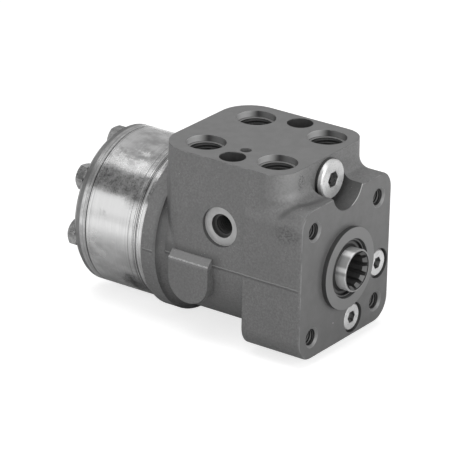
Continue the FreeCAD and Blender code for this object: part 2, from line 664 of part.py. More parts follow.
# Thrust bearing: two races, a cage and its needles
for name, front in (("bearing_race_fixed", bearing_front), ("bearing_race_moving", moving_race_front)):
    turned_piece(name, (front, web_bore), (front + s.race_width, web_bore),
                 (front + s.race_width, s.bearing_radius), (front, s.bearing_radius))
needle_middle = (web_bore + s.bearing_radius) / 2
needle_axis = needle_front + s.needle_diameter / 2
cage_half = s.needle_diameter / 4
cage = new_body("bearing_cage")
turn(cage, "Revolution", [
    (needle_axis - cage_half, web_bore), (needle_axis + cage_half, web_bore),
    (needle_axis + cage_half, s.bearing_radius), (needle_axis - cage_half, s.bearing_radius)])
cage_sketch = new_sketch(cage, "XZ_Plane", -(needle_axis + s.needle_diameter))
cage_slot_u = s.needle_diameter / 2 + s.needle_gap
cage_slot_v = s.needle_length / 2 + s.needle_gap
rectangle(cage_sketch, -cage_slot_u, needle_middle - cage_slot_v, cage_slot_u, needle_middle + cage_slot_v)
cage_slot = extrude(cage, "Pocket", cage_sketch, s.needle_diameter * 2, turned=True)
around_axis(cage, cage_slot, s.needle_count)
keep(cage)


def copies_around(shape, count, start=0.0, skip=()):
    """Separate copies of a piece at even angles about the axis."""
    step = 360.0 / count
    turned = []
    for number in range(count):
        if number not in skip:
            copy = shape.copy()
            copy.rotate(Vector(0, 0, 0), Vector(0, -1, 0), start + number * step)
            turned.append(copy)
    return Part.makeCompound(turned)


needle = Part.makeCylinder(
    s.needle_diameter.value / 2, s.needle_length.value,
    Vector(0, needle_axis.value, (needle_middle - s.needle_length / 2).value), Vector(0, 0, 1))
shaped("bearing_needles", copies_around(needle, round(s.needle_count.value)))


# Internal spline spaces, cut one at a time and repeated
def spline_space(body, plane_offset, minor, major, length, turned):
    """A space between two spline teeth, narrower at its bottom than at its mouth."""
    sketch = new_sketch(body, "XZ_Plane", plane_offset)
    mouth = minor * math.pi / 2 / s.spline_count * 1.15
    bottom = minor * math.pi / 2 / s.spline_count * 0.8
    outline(sketch, [(-mouth, minor * 0.9), (mouth, minor * 0.9), (bottom, major), (-bottom, major)])
    cut = extrude(body, "Pocket", sketch, length, turned=turned)
    return around_axis(body, cut, s.spline_count)


# The control spool, turned by the column shaft through its splined neck
def make_spool():
    body = new_body("control_spool")
    outer = s.spool_radius - s.running_gap
    front = -s.neck_proud
    mouth = s.input_spline_major + s.fit_gap
    turn(body, "Revolution", [
        (front, mouth), (front, s.neck_radius - s.neck_edge),
        (front + s.neck_edge, s.neck_radius), (valve_front, s.neck_radius),
        (valve_front, outer), (valve_back, outer), (valve_back, s.spool_bore / 2),
        (front + s.input_spline_length, s.spool_bore / 2),
        (front + s.input_spline_length, s.input_spline_minor),
        (front + s.spline_lead, s.input_spline_minor), (front + s.neck_edge * 2, mouth)])
    spline_space(body, s.neck_proud, s.input_spline_minor, s.input_spline_major,
                 s.input_spline_length, False)
    slot_through(body, outer * 2 + 1)

    # Round holes that let the cross pin move by the full displacement
    slack = s.spool_radius * sine(s.pin_slip) + s.fit_gap * 2
    pin_hole_through(body, s.pin_radius + slack, outer * 2 + 1)

    # Long metering grooves on the outside
    sketch = new_sketch(body, "XY_Plane", outer - s.groove_width / 4)
    rectangle(sketch, -s.groove_width / 4, port_near + s.groove_width * 4,
              s.groove_width / 4, port_far - s.groove_width / 2)
    around_axis(body, extrude(body, "Pocket", sketch, s.groove_width, turned=True), s.spline_count / 2)
    return keep(body)


def slot_through(body, length):
    """A slot straight through both walls for the leaf springs."""
    sketch = new_sketch(body, "YZ_Plane")
    half = s.spring_width / 2 + s.fit_gap * 2
    rectangle(sketch, s.spring_station - half, -s.spring_pack / 2,
              s.spring_station + half, s.spring_pack / 2)
    return extrude(body, "Pocket", sketch, length, midplane=True)


def pin_hole_through(body, radius, length):
    sketch = new_sketch(body, "YZ_Plane")
    circle(sketch, s.pin_station, 0.0, radius)
    return extrude(body, "Pocket", sketch, length, midplane=True)


make_spool()


# The sleeve round the spool, tied to the gear set by the cross pin
def make_sleeve():
    body = new_body("control_sleeve")
    outer = s.bore_radius - s.running_gap
    ring_half = s.spring_width / 2 + s.fit_gap * 6
    low, high = s.spring_station - ring_half, s.spring_station + ring_half
    groove = outer - s.spring_ring_depth
    turn(body, "Revolution", [
        (valve_front, s.spool_radius), (valve_front, outer), (low, outer), (low, groove),
        (high, groove), (high, outer), (valve_back, outer), (valve_back, s.spool_radius)])
    slot_through(body, outer * 2 + 1)
    pin_hole_through(body, s.pin_radius + s.fit_gap, outer * 2 + 1)

    # Rings of small oil holes at the housing's ring grooves
    for station in (port_near, port_far):
        for shift in (-s.gallery_shift, s.gallery_shift):
            sketch = new_sketch(body, "XY_Plane", s.spool_radius - 1)
            circle(sketch, 0.0, station + shift, s.groove_width / 4)
            hole = extrude(body, "Pocket", sketch, s.bore_radius - s.spool_radius + 2, turned=True)
            around_axis(body, hole, s.spline_count / 2)
    keep(body)
    turned_piece(
        "spring_ring",
        (low + s.fit_gap, groove + s.fit_gap), (high - s.fit_gap, groove + s.fit_gap),
        (high - s.fit_gap, outer), (low + s.fit_gap, outer))
    return groove


sleeve_groove = make_sleeve()

pin_body = new_body("cross_pin")
pin_sketch = new_sketch(pin_body, "YZ_Plane")
circle(pin_sketch, s.pin_station, 0.0, s.pin_radius)
extrude(pin_body, "Pad", pin_sketch, (sleeve_groove - s.fit_gap) * 2, midplane=True)
keep(pin_body)


# Leaf springs across the spool: a flat pair between two leaves bowed towards it
leaf_reach = sleeve_groove.value - s.fit_gap.value * 2
leaf_low = s.spring_station.value - s.spring_width.value / 2
leaf_thick = s.spring_leaf.value


def flat_leaf(height):
    return Part.makeBox(2 * leaf_reach, s.spring_width.value, leaf_thick,
                        Vector(-leaf_reach, leaf_low, height - leaf_thick / 2))


def bowed_leaf(side, flat_face):
    """A leaf whose middle comes close to the flat pair and whose ends lie near the slot's wall."""
    end = s.spring_pack.value / 2 - s.fit_gap.value
    middle = flat_face + s.fit_gap.value + leaf_thick
    rims = [[Vector(-leaf_reach, leaf_low, side * (end - inner)),
             Vector(0, leaf_low, side * (middle - inner)),
             Vector(leaf_reach, leaf_low, side * (end - inner))] for inner in (0, leaf_thick)]
    edges = [Part.Arc(*rim).toShape() for rim in rims]
    edges += [Part.LineSegment(rims[0][at], rims[1][at]).toShape() for at in (0, 2)]
    face = Part.Face(Part.Wire(Part.__sortEdges__(edges)))
    return face.extrude(Vector(0, s.spring_width.value, 0))


pair_gap = s.fit_gap.value / 2
leaf_middle = leaf_thick / 2 + pair_gap
shaped("leaf_springs", Part.makeCompound([
    flat_leaf(leaf_middle), flat_leaf(-leaf_middle),
    bowed_leaf(1, leaf_thick + pair_gap), bowed_leaf(-1, leaf_thick + pair_gap)]))


# The cardan shaft, forked round the cross pin and splined into the rotor
tail_reach = cover_front - s.spacer_length - s.spacer_gap * 2 - s.pin_station
spline_middle = tail_reach - s.gear_spline_length / 2
tilt = Size(math.degrees(math.asin(s.eccentricity.value / spline_middle.value)),
            f"asin({s.eccentricity.text} / {spline_middle.text})")


def make_cardan():
    """Built along its own axis from the middle of the cross pin, then tilted about that point."""
    body = new_body("cardan_shaft")
    minor = s.gear_spline_minor - s.gear_spline_gap
    teeth_front = tail_reach - s.gear_spline_length
    turn(body, "Revolution", [
        (-s.cardan_fork_front, 0.0), (-s.cardan_fork_front, s.cardan_head_radius - s.neck_chamfer),
        (-s.cardan_fork_front + s.neck_chamfer, s.cardan_head_radius),
        (s.cardan_fork_back, s.cardan_head_radius),
        (s.cardan_fork_back + s.neck_chamfer * 2, s.cardan_radius),
        (teeth_front - s.neck_chamfer * 2, s.cardan_radius),
        (teeth_front, minor), (tail_reach, minor), (tail_reach, 0.0)])
    sketch = new_sketch(body, "XZ_Plane", s.cardan_fork_front)
    half = s.pin_radius + s.fork_gap
    rectangle(sketch, -s.cardan_head_radius - 1, -half, s.cardan_head_radius + 1, half)
    extrude(body, "Pocket", sketch, s.cardan_fork_front + s.pin_radius + s.fork_gap * 4)

    # One tooth at the rear end, repeated
    sketch = new_sketch(body, "XZ_Plane", -teeth_front)
    root = s.gear_spline_minor * math.pi / 2 / s.spline_count * 1.15 - s.gear_spline_gap
    crest = s.gear_spline_minor * math.pi / 2 / s.spline_count * 0.8 - s.gear_spline_gap * 0.4
    outline(sketch, [(-root, minor * 0.9), (root, minor * 0.9),
                     (crest, s.gear_spline_major - s.gear_spline_gap * 1.3),
                     (-crest, s.gear_spline_major - s.gear_spline_gap * 1.3)])
    around_axis(body, extrude(body, "Pad", sketch, s.gear_spline_length, turned=True), s.spline_count)
    body.Placement = Placement(Vector(0, s.pin_station.value, 0), Rotation(Vector(1, 0, 0), tilt.value))
    body.setExpression("Placement.Base.y", s.pin_station.text)
    body.setExpression("Placement.Rotation.Angle", tilt.text)
    return keep(body)


make_cardan()


# Distributor plate between housing and gear set
def screw_holes(body, front, width):
    sketch = new_sketch(body, "XZ_Plane", -front)
    circle(sketch, 0.0, s.screw_circle_radius, s.screw_hole / 2)
    return around_axis(body, extrude(body, "Pocket", sketch, width), s.screw_count)


plate = new_body("distributor_plate")
turn(plate, "Revolution", [
    (plate_front, s.plate_bore / 2), (ring_front, s.plate_bore / 2),
    (ring_front, s.gear_radius), (plate_front, s.gear_radius)])
screw_holes(plate, plate_front, s.plate_width)
half_lobe = Size(first_screw_angle + 180 / s.lobe_count.value,
                 f"({first_screw_angle} + 180 / Sizes.lobe_count)")
plate_sketch = new_sketch(plate, "XZ_Plane", -plate_front)
circle(plate_sketch, *polar_place(s.plate_port_circle_radius, half_lobe), s.plate_port_diameter / 2)
around_axis(plate, extrude(plate, "Pocket", plate_sketch, s.plate_width), s.lobe_count)
keep(plate)


# Gear ring with its lobes, the fixed half of the gear set
cavity_radius = s.lobe_circle_radius + s.eccentricity * 2 - s.lobe_radius + s.cavity_gap
rough_radius = s.lobe_circle_radius + s.lobe_radius + s.neck_chamfer
gear_ring = new_body("gear_ring")
turn(gear_ring, "Revolution", [
    (ring_front, cavity_radius), (cover_front, cavity_radius),
    (cover_front, rough_radius), (ring_front, rough_radius)])
ring_sketch = new_sketch(gear_ring, "XZ_Plane", -ring_front)
circle(ring_sketch, 0.0, s.lobe_circle_radius, s.lobe_radius)
around_axis(gear_ring, extrude(gear_ring, "Pad", ring_sketch, s.ring_width, turned=True), s.lobe_count)
turn(gear_ring, "Groove", [
    (ring_front - 1, s.gear_radius), (cover_front + 1, s.gear_radius),
    (cover_front + 1, rough_radius + 1), (ring_front - 1, rough_radius + 1)])
screw_holes(gear_ring, ring_front, s.ring_width)
turn(gear_ring, "Groove", face_groove(ring_front, 1), face_groove(cover_front, -1))
keep(gear_ring)


# The rotor, whose outline follows the ring's lobes as it orbits
def rotor_outline(points_per_tooth=20):
    """Points of the curve that stays a lobe radius inside the path of the lobe centres.

    In the rotor's own frame a lobe centre is at lobe_circle_radius at the angle t, less the
    eccentricity at the angle lobe_count times t.
    """
    lobes = round(s.lobe_count.value)
    count = points_per_tooth * (lobes - 1)
    inset = s.lobe_radius.value + s.rotor_gap.value
    turn_at_rest = math.pi / (lobes - 1)
    points = []
    for i in range(count):
        t = 2 * math.pi * i / count
        x = s.lobe_circle_radius.value * math.cos(t) - s.eccentricity.value * math.cos(lobes * t)
        z = s.lobe_circle_radius.value * math.sin(t) - s.eccentricity.value * math.sin(lobes * t)
        dx = -s.lobe_circle_radius.value * math.sin(t) + lobes * s.eccentricity.value * math.sin(lobes * t)
        dz = s.lobe_circle_radius.value * math.cos(t) - lobes * s.eccentricity.value * math.cos(lobes * t)
        size = math.hypot(dx, dz)
        px, pz = x - inset * dz / size, z + inset * dx / size
        a = turn_at_rest
        points.append(Vector(px * math.cos(a) - pz * math.sin(a), 0, px * math.sin(a) + pz * math.cos(a)))
    return points


def make_rotor():
    front = ring_front.value + s.rotor_end_gap.value
    width = s.ring_width.value - 2 * s.rotor_end_gap.value
    curve = Part.BSplineCurve()
    curve.interpolate(Points=rotor_outline(), PeriodicFlag=True)
    solid = Part.Face(Part.Wire(curve.toShape())).extrude(Vector(0, width, 0))
    minor, major = s.gear_spline_minor.value, s.gear_spline_major.value
    teeth = round(s.spline_count.value)
    mouth = minor * math.pi / 2 / teeth * 1.15
    bottom = minor * math.pi / 2 / teeth * 0.8
    corners = [(-mouth, minor * 0.9), (mouth, minor * 0.9), (bottom, major), (-bottom, major)]
    space = Part.Face(Part.makePolygon([Vector(u, 0, v) for u, v in corners + corners[:1]]))
    cutters = [Part.makeCylinder(minor, width, Vector(0, 0, 0), Vector(0, 1, 0))]
    cutters += copies_around(space.extrude(Vector(0, width, 0)), teeth).Solids
    rotor = shaped("rotor", solid.cut(cutters).Solids[0])
    rotor.Placement = Placement(Vector(0, front, s.eccentricity.value), Rotation())
    rotor.setExpression("Placement.Base.z", s.eccentricity.text)
    return rotor


make_rotor()

# Spacer that stops the cardan shaft, carried round by the rotor's bore
spacer = turned_piece(
    "spacer",
    (cover_front - s.spacer_length, 0.0), (cover_front - s.rotor_end_gap, 0.0),
    (cover_front - s.rotor_end_gap, s.gear_spline_minor - s.spacer_gap),
    (cover_front - s.spacer_length, s.gear_spline_minor - s.spacer_gap))
move(spacer, 0.0, 0.0, s.eccentricity)


# End cover, its rim straight and then tapered to the rear face
cover = new_body("end_cover")
turn(cover, "Revolution", [
    (cover_front, 0.0), (cover_front, s.gear_radius), (cover_front + s.cover_straight, s.gear_radius),
    (cover_back, s.cover_face_radius), (cover_back, 0.0)])
dress(cover, "Fillet", s.cover_edge,
      lambda edge: near(edge.BoundBox.YMax, cover_back) and edge.Curve.TypeId == "Part::GeomCircle")
screw_holes(cover, cover_front, s.cover_width)
sketch = new_sketch(cover, "XZ_Plane", -cover_back)
circle(sketch, 0.0, s.screw_circle_radius, s.washer_radius + s.fit_gap * 4)
spot = extrude(cover, "Pocket", sketch, s.screw_spot_deep, turned=True)
around_axis(cover, spot, s.screw_count)
keep(cover)

# Three O-rings seal the faces of housing, gear ring and end cover
rings = []
for face, side in ((s.housing_length, -1), (ring_front, 1), (cover_front, -1)):
    middle = (face + side * s.face_groove_deep / 2).value
    rings.append(Part.makeTorus(s.face_ring_radius.value, s.face_ring_section.value / 2,
                                Vector(0, middle, 0), Vector(0, 1, 0)))
shaped("face_o_rings", Part.makeCompound(rings))


# Cover screws with their washers; one carries the rolled pin for the check valve
seat_face = cover_back - s.screw_spot_deep
head_front = seat_face + s.washer_width


def make_screw(name):
    """A hexagon head screw at the top of the screw circle."""
    body = new_body(name)
    radius = s.screw_diameter / 2
    corner_radius = s.screw_head_flats / math.sqrt(3)
    chamfer = s.screw_head_height / 6
    front = s.housing_length - s.screw_reach
    turn(body, "Revolution", [
        (front, 0.0), (front, radius - chamfer), (front + chamfer, radius), (head_front, radius),
        (head_front, corner_radius), (head_front + s.screw_head_height - chamfer, corner_radius),
        (head_front + s.screw_head_height, corner_radius - chamfer * 1.6),
        (head_front + s.screw_head_height, 0.0)])
    for number in range(3):
        hex_flats(body, number)
    move(body, 0.0, 0.0, s.screw_circle_radius)
    return body


def hex_flats(body, number):
    """One pair of flats: all that lies outside the size across flats is cut away."""
    sketch = new_sketch(body, "XZ_Plane", -head_front)
    sketch.AttachmentOffset = Placement(sketch.AttachmentOffset.Base, Rotation(Vector(0, 0, 1), 60 * number))
    half = s.screw_head_flats / 2
    for side in (-1, 1):
        rectangle(sketch, -s.screw_head_flats, side * half, s.screw_head_flats, side * s.screw_head_flats)
    extrude(body, "Pocket", sketch, s.screw_head_height)


pin_screw = make_screw("pin_screw")
doc.recompute()
count = round(s.screw_count.value)
shaped("cover_screws", copies_around(pin_screw.Shape, count, skip=(pin_screw_number,)))
screw_x, screw_z = polar_place(s.screw_circle_radius, check_angle)
move(pin_screw, screw_x, 0.0, screw_z)
keep(pin_screw)
washer_place = Vector(0, seat_face.value, s.screw_circle_radius.value)
washer, washer_hole = [Part.makeCylinder(radius, s.washer_width.value, washer_place, Vector(0, 1, 0))
                       for radius in (s.washer_radius.value, s.screw_hole.value / 2)]
washer = washer.cut(washer_hole)
shaped("screw_washers", copies_around(washer, count))

roll_pin = turned_piece(
    "roll_pin",
    (roll_pin_front, s.roll_pin_diameter / 4), (s.housing_length - s.screw_reach, s.roll_pin_diameter / 4),
    (s.housing_length - s.screw_reach, s.roll_pin_diameter / 2), (roll_pin_front, s.roll_pin_diameter / 2))
move(roll_pin, screw_x, 0.0, screw_z)


def make_ball(name, diameter, x, y, z):
    ball = doc.addObject("Part::Sphere", name)
    ball.Label = name
    bind(ball, "Radius", diameter / 2)
    move(ball, x, y, z)
    return keep(ball)


make_ball("check_ball", s.check_ball, screw_x, check_ball_place, screw_z)


# Socket head plugs: a turned blank with a hexagon socket in its head
def make_plug(name, head, head_radius, head_height, thread_radius, reach, socket_flats, socket_deep):
    """A plug along Y whose head starts at head and whose thread follows the head."""
    body = new_body(name)
    chamfer = head_height / 4
    profile = [(head, 0.0), (head, head_radius - chamfer), (head + chamfer, head_radius)]
    if thread_radius is not head_radius:
        profile += [(head + head_height, head_radius), (head + head_height, thread_radius)]
    profile += [(head + head_height + reach, thread_radius), (head + head_height + reach, 0.0)]
    turn(body, "Revolution", profile)
    sketch = new_sketch(body, "XZ_Plane", -head)
    corner = socket_flats / math.sqrt(3)
    turns = [math.radians(60 * number) for number in range(6)]
    outline(sketch, [(corner * round(math.cos(a), 6), corner * round(math.sin(a), 6)) for a in turns])
    extrude(body, "Pocket", sketch, socket_deep)
    return body


# Relief valve: plug, washer, adjusting screw, spring, cone and seat
washer_front = s.block_front - s.relief_washer_width
relief_head = washer_front - s.relief_plug_head_height
relief_plug = make_plug(
    "relief_plug", relief_head, s.relief_plug_head / 2, s.relief_plug_head_height,
    s.relief_plug_thread / 2, s.relief_plug_reach + s.relief_washer_width - s.fit_gap,
    s.relief_plug_thread / 2, s.relief_plug_reach * 0.6)
relief_washer_bore = s.relief_plug_thread / 2 + s.fit_gap
relief_washer_edge = s.relief_plug_head / 2 + s.fit_gap * 6
relief_washer = turned_piece(
    "relief_washer",
    (washer_front, relief_washer_bore), (s.block_front, relief_washer_bore),
    (s.block_front, relief_washer_edge), (washer_front, relief_washer_edge))
seat_front = s.relief_bore_end - s.relief_seat_width
relief_seat = turned_piece(
    "relief_seat",
    (seat_front, s.relief_way / 2 + s.relief_way / 8), (seat_front + s.relief_way / 8, s.relief_way / 2),
    (s.relief_bore_end, s.relief_way / 2), (s.relief_bore_end, s.relief_bore / 2),
    (seat_front, s.relief_bore / 2))
cone_radius = s.relief_way * 0.85
cone_tip = s.relief_way / 2
cone_back = seat_front - s.relief_way
relief_cone = turned_piece(
    "relief_cone",
    (cone_back, 0.0), (cone_back, cone_radius),
    (seat_front + cone_tip - cone_radius - s.fit_gap * 2, cone_radius),
    (seat_front + cone_tip - s.fit_gap * 2, 0.0))
spring_end = cone_back - s.fit_gap
spring_start = spring_end - s.relief_spring_length
adjuster_length = spring_start - s.fit_gap - (s.block_front + s.relief_plug_reach + s.relief_travel)
adjuster_radius = s.relief_bore / 2
relief_adjuster = make_plug(
    "relief_adjuster", s.block_front + s.relief_plug_reach + s.relief_travel, adjuster_radius,
    adjuster_length / 2, adjuster_radius, adjuster_length / 2,
    s.relief_bore / 2.4, adjuster_length / 2)
for thing in (relief_plug, relief_adjuster):
    keep(thing)
for thing in (relief_plug, relief_washer, relief_seat, relief_cone, relief_adjuster):
    move(thing, 0.0, 0.0, s.relief_height)


def coil_spring(radius, wire, length, turns):
    """A compression spring along Y from the origin: a wire swept along a helix."""
    pitch = (length - wire) / turns
    path = Part.makeHelix(pitch, length - wire, radius)
    path.translate(Vector(0, 0, wire / 2))
    section = Part.Wire(Part.makeCircle(wire / 2, Vector(radius, 0, wire / 2), Vector(0, 1, 0)))
    spring = Part.Wire(path).makePipeShell([section], True, True)
    spring.rotate(Vector(0, 0, 0), Vector(1, 0, 0), -90)
    return spring


wire = s.relief_way.value / 3
relief_spring = shaped("relief_spring", coil_spring(
    s.relief_bore.value / 2 - wire, wire, s.relief_spring_length.value, 5))
move(relief_spring, 0.0, spring_start, s.relief_height)

# Shock valves: two plugs, each over a spring, a ball and a seat
shock_head_height = s.shock_pocket_deep - s.shock_plug_sunk
shock_seat_front = s.shock_bore_end - s.shock_seat_width
ball_radius = s.shock_ball / 2
shock_ball_place = shock_seat_front - ball_radius * 0.7
shock_spring_end = shock_ball_place - ball_radius - s.fit_gap
shock_spring_start = s.shock_pocket_deep + s.shock_plug_reach + s.fit_gap
shock_wire = s.shock_bore.value / 9
for number, (x, z) in enumerate(shock_places()):
    side = ("lower", "right")[number]
    plug = make_plug(
        f"shock_plug_{side}", s.shock_plug_sunk, s.shock_plug_head / 2, shock_head_height,
        s.shock_plug_thread / 2, s.shock_plug_reach, s.shock_plug_head * 0.4, shock_head_height)
    seat = turned_piece(
        f"shock_seat_{side}",
        (shock_seat_front, ball_radius * 0.75), (shock_seat_front + ball_radius * 0.4, s.shock_way / 2),
        (s.shock_bore_end, s.shock_way / 2), (s.shock_bore_end, s.shock_bore / 2),
        (shock_seat_front, s.shock_bore / 2))
    move(keep(plug), x, 0.0, z)
    move(seat, x, 0.0, z)
    make_ball(f"shock_ball_{side}", s.shock_ball, x, shock_ball_place, z)
    spring = shaped(f"shock_spring_{side}", coil_spring(
        s.shock_bore.value / 2 - shock_wire, shock_wire, (shock_spring_end - shock_spring_start).value, 6))
    move(spring, x, shock_spring_start, z)

# Check of every object, then one file for each sub-part
doc.recompute()
for thing in doc.Objects:
    if "Invalid" in thing.State or "Error" in thing.State:
        raise RuntimeError(f"{thing.Label} of {thing.Name} did not compute: {thing.State}")
os.makedirs("parts", exist_ok=True)
for thing in nodes:
    shape = thing.Shape
    if shape.isNull() or not shape.isValid() or not shape.Solids:
        raise RuntimeError(f"{thing.Label} is not a valid solid")
for thing in nodes:
    thing.Shape.exportStep(f"parts/{thing.Label}.step")
    print(f"{thing.Label}: {len(thing.Shape.Solids)} solids, {thing.Shape.Volume:.1f} mm3")
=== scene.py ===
import bpy
import math
import numpy as np
from mathutils import Matrix, Vector


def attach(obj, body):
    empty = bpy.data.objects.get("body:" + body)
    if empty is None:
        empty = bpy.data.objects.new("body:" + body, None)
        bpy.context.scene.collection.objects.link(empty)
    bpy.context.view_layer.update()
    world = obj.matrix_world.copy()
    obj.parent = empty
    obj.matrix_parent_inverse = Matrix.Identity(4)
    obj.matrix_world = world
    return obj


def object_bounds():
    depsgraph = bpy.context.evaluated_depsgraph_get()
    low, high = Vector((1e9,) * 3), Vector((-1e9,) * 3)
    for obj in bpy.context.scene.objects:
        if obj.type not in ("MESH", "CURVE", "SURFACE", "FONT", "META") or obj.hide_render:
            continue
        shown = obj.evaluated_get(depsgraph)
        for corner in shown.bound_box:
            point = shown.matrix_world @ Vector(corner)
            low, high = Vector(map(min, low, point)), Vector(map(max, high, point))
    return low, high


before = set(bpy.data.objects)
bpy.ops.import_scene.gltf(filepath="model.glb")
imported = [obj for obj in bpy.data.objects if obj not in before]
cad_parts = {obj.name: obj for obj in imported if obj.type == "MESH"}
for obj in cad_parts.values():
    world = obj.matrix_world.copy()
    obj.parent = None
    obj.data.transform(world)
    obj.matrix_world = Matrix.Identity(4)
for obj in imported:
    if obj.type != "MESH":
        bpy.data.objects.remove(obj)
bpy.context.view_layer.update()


# Housing: one iron casting, shot blasted and then phosphated to a dark even grey.
# Its flange face, port face and bores are machined, and a thin flash marks where the two
# halves of the mould met.
class Shade:
    """A socket of a material. Arithmetic on it adds Math nodes, and sizes are in millimetres."""

    def __init__(self, tree, socket=None):
        self.tree, self.socket = tree, socket

    def node(self, kind, settings=None, inputs=None, out=0):
        """A new node: its settings first, then values or links by the names of its sockets."""
        made = self.tree.nodes.new(kind)
        for name, value in (settings or {}).items():
            setattr(made, name, value)
        for name, value in (inputs or {}).items():
            if isinstance(value, Shade):
                self.tree.links.new(value.socket, made.inputs[name])
            else:
                made.inputs[name].default_value = value
        return Shade(self.tree, made.outputs[out] if len(made.outputs) else None)

    def math(self, operation, *values):
        return self.node("ShaderNodeMath", {"operation": operation}, dict(enumerate(values)))

    def __add__(self, other):
        return self.math("ADD", self, other)

    def __sub__(self, other):
        return self.math("SUBTRACT", self, other)

    def __rsub__(self, other):
        return self.math("SUBTRACT", other, self)

    def __mul__(self, other):
        return self.math("MULTIPLY", self, other)

    def __pow__(self, other):
        return self.math("POWER", self, other)

    def __abs__(self):
        return self.math("ABSOLUTE", self)

    __radd__ = __add__
    __rmul__ = __mul__

    def rise(self, low, high):
        """0 below low, 1 above high, and a smooth step between them."""
        return self.node("ShaderNodeMapRange", {"interpolation_type": "SMOOTHSTEP"},
                         {"Value": self, "From Min": low, "From Max": high})

    def fall(self, low, high):
        """1 below low, 0 above high, and a smooth step between them."""
        return 1 - self.rise(low, high)

    def near(self, spot, full, none):
        """1 up to the distance full from the spot, and 0 beyond the distance none."""
        return abs(self - spot).fall(full, none)

    def either(self, other):
        return self.math("MAXIMUM", self, other)

    def both(self, other):
        return self.math("MINIMUM", self, other)


def begin(name):
    """A material with its object coordinates in millimetres: the vector, then x, y and z."""
    material = bpy.data.materials.new(name)
    material.use_nodes = True
    material.node_tree.nodes.clear()
    start = Shade(material.node_tree)
    place = start.node("ShaderNodeTexCoord", out="Object")
    place = start.node("ShaderNodeVectorMath", {"operation": "SCALE"}, {0: place, "Scale": 1000.0})
    axes = [start.node("ShaderNodeSeparateXYZ", inputs={0: place}, out=i) for i in range(3)]
    return material, place, *axes


def grain(place, size, detail=3.0, stretch=(1, 1, 1), rough=0.55):
    """Noise whose blobs are about size millimetres across, longer where stretch is over 1."""
    scaled = place.node("ShaderNodeVectorMath", {"operation": "DIVIDE"},
                        {0: place, 1: tuple(size * part for part in stretch)})
    return place.node("ShaderNodeTexNoise", inputs={
        "Vector": scaled, "Scale": 1.0, "Detail": detail, "Roughness": rough})


def tint(mask, dark, light):
    """The first colour where the mask is 0, and the second where it is 1."""
    return mask.node("ShaderNodeMix", {"data_type": "RGBA"},
                     {0: mask, 6: dark, 7: light}, out=2)


def colour(grey, warm=0.0):
    return (grey * (1 + warm), grey, grey * (1 - warm), 1.0)


def end(material, place, base, rough, metal, height, depth, edge=0.0):
    """Joins the finish to the shader. Relief is height times depth, and edge is the radius
    of worn edges, both in millimetres."""
    bump = {"Height": height, "Distance": depth / 1000, "Strength": 1.0}
    if edge:
        bump["Normal"] = place.node("ShaderNodeBevel", {"samples": 6}, {"Radius": edge / 1000})
    shader = place.node("ShaderNodeBsdfPrincipled", inputs={
        "Base Color": base, "Roughness": rough, "Metallic": metal,
        "Normal": place.node("ShaderNodeBump", inputs=bump)})
    place.node("ShaderNodeOutputMaterial", inputs={"Surface": shader})
    return material


def finish(names, material):
    for name in names:
        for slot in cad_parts[name].material_slots:
            slot.material = material


def away(first, second):
    """Distance from the axis of two offsets."""
    return (first * first + second * second) ** 0.5


# Places of the machined forms, as in the housing's solid
block_middle, port_x, port_y, bolt_x, corner_hole = 50.9, 22.2, 22.25, 30.2, 29.17
signal_height, relief_height, shock_near, shock_far = 22.2, 46.0, 8.31, 31.0
recess_floor, signal_seat, block_top, rear_face = 54.0, -38.2, 57.6, 97.2

iron, place, x, y, z = begin("phosphated_iron")
side = abs(x)
port = away(side - port_x, abs(y - block_middle) - port_y)
bolt = away(side - bolt_x, y - block_middle)
hole = away(side - corner_hole, abs(z) - corner_hole)
signal = away(y - block_middle, z - signal_height)
relief_side = away(x, z - relief_height)
spool = away(x, z)
hole_deep, shock_deep = y.fall(16.0, 16.5), y.fall(4.0, 5.0)

# Machined: walls of the bores, the holes' countersinks, the signal port's ring, flat faces
cut = port.fall(10.42, 10.5).both(z.rise(40.0, 41.0))
cut = cut.either(bolt.fall(6.95, 7.0).both(z.rise(34.0, 35.0)))
cut = cut.either(hole.fall(4.4, 4.5).both(hole_deep))
sunk = hole.fall(5.62, 5.68).both(hole_deep) * (1 - cut)
for plug_x, plug_z in ((shock_near, -shock_far), (shock_far, -shock_near)):
    cut = cut.either(away(x - plug_x, z - plug_z).fall(8.14, 8.2).both(shock_deep))
cut = cut.either(signal.fall(6.5, 6.55).both(x.fall(-20.0, -18.0)))
ring = signal.fall(10.62, 10.7).both(x.near(signal_seat, 0.1, 0.3))
# The pilot boss's side is painted dark: painted shade
boss_side_shade = spool.near(22.0, 0.05, 0.2).both(y.fall(-0.2, -0.05)).both(y.rise(-2.7, -2.5))
flat = z.rise(block_top - 0.1, block_top - 0.02).either(y.fall(0.02, 0.1))
flat = flat.either(y.rise(rear_face - 0.1, rear_face - 0.01))
smooth = flat.either(cut).either(ring).either(sunk)
rough_skin = 1 - smooth

# Cast skin, and the patches of coarse pits at the front and on the side
skin = grain(place, 1.1, 4.0, rough=0.7)
pits = grain(place, 2.4, 5.0, rough=0.7)
cloud = grain(place, 24.0)
mottle = grain(place, 7.0, 5.0, rough=0.62).rise(0.3, 0.7)
front_patch = away((x + 23.2) * 1.7, z - 50.3) + 20.0 * y.rise(14.5, 18.0)
side_patch = away((y - 9.6) * 0.7, z - 28.5) + 20.0 * x.rise(-38.0, -30.0)
speckle = grain(place, 0.9, 2.0).rise(0.50, 0.60) * rough_skin
speckle = speckle * front_patch.both(side_patch).fall(2.0, 7.5)
spark = grain(place, 1.0, 2.0).rise(0.70, 0.76) * rough_skin
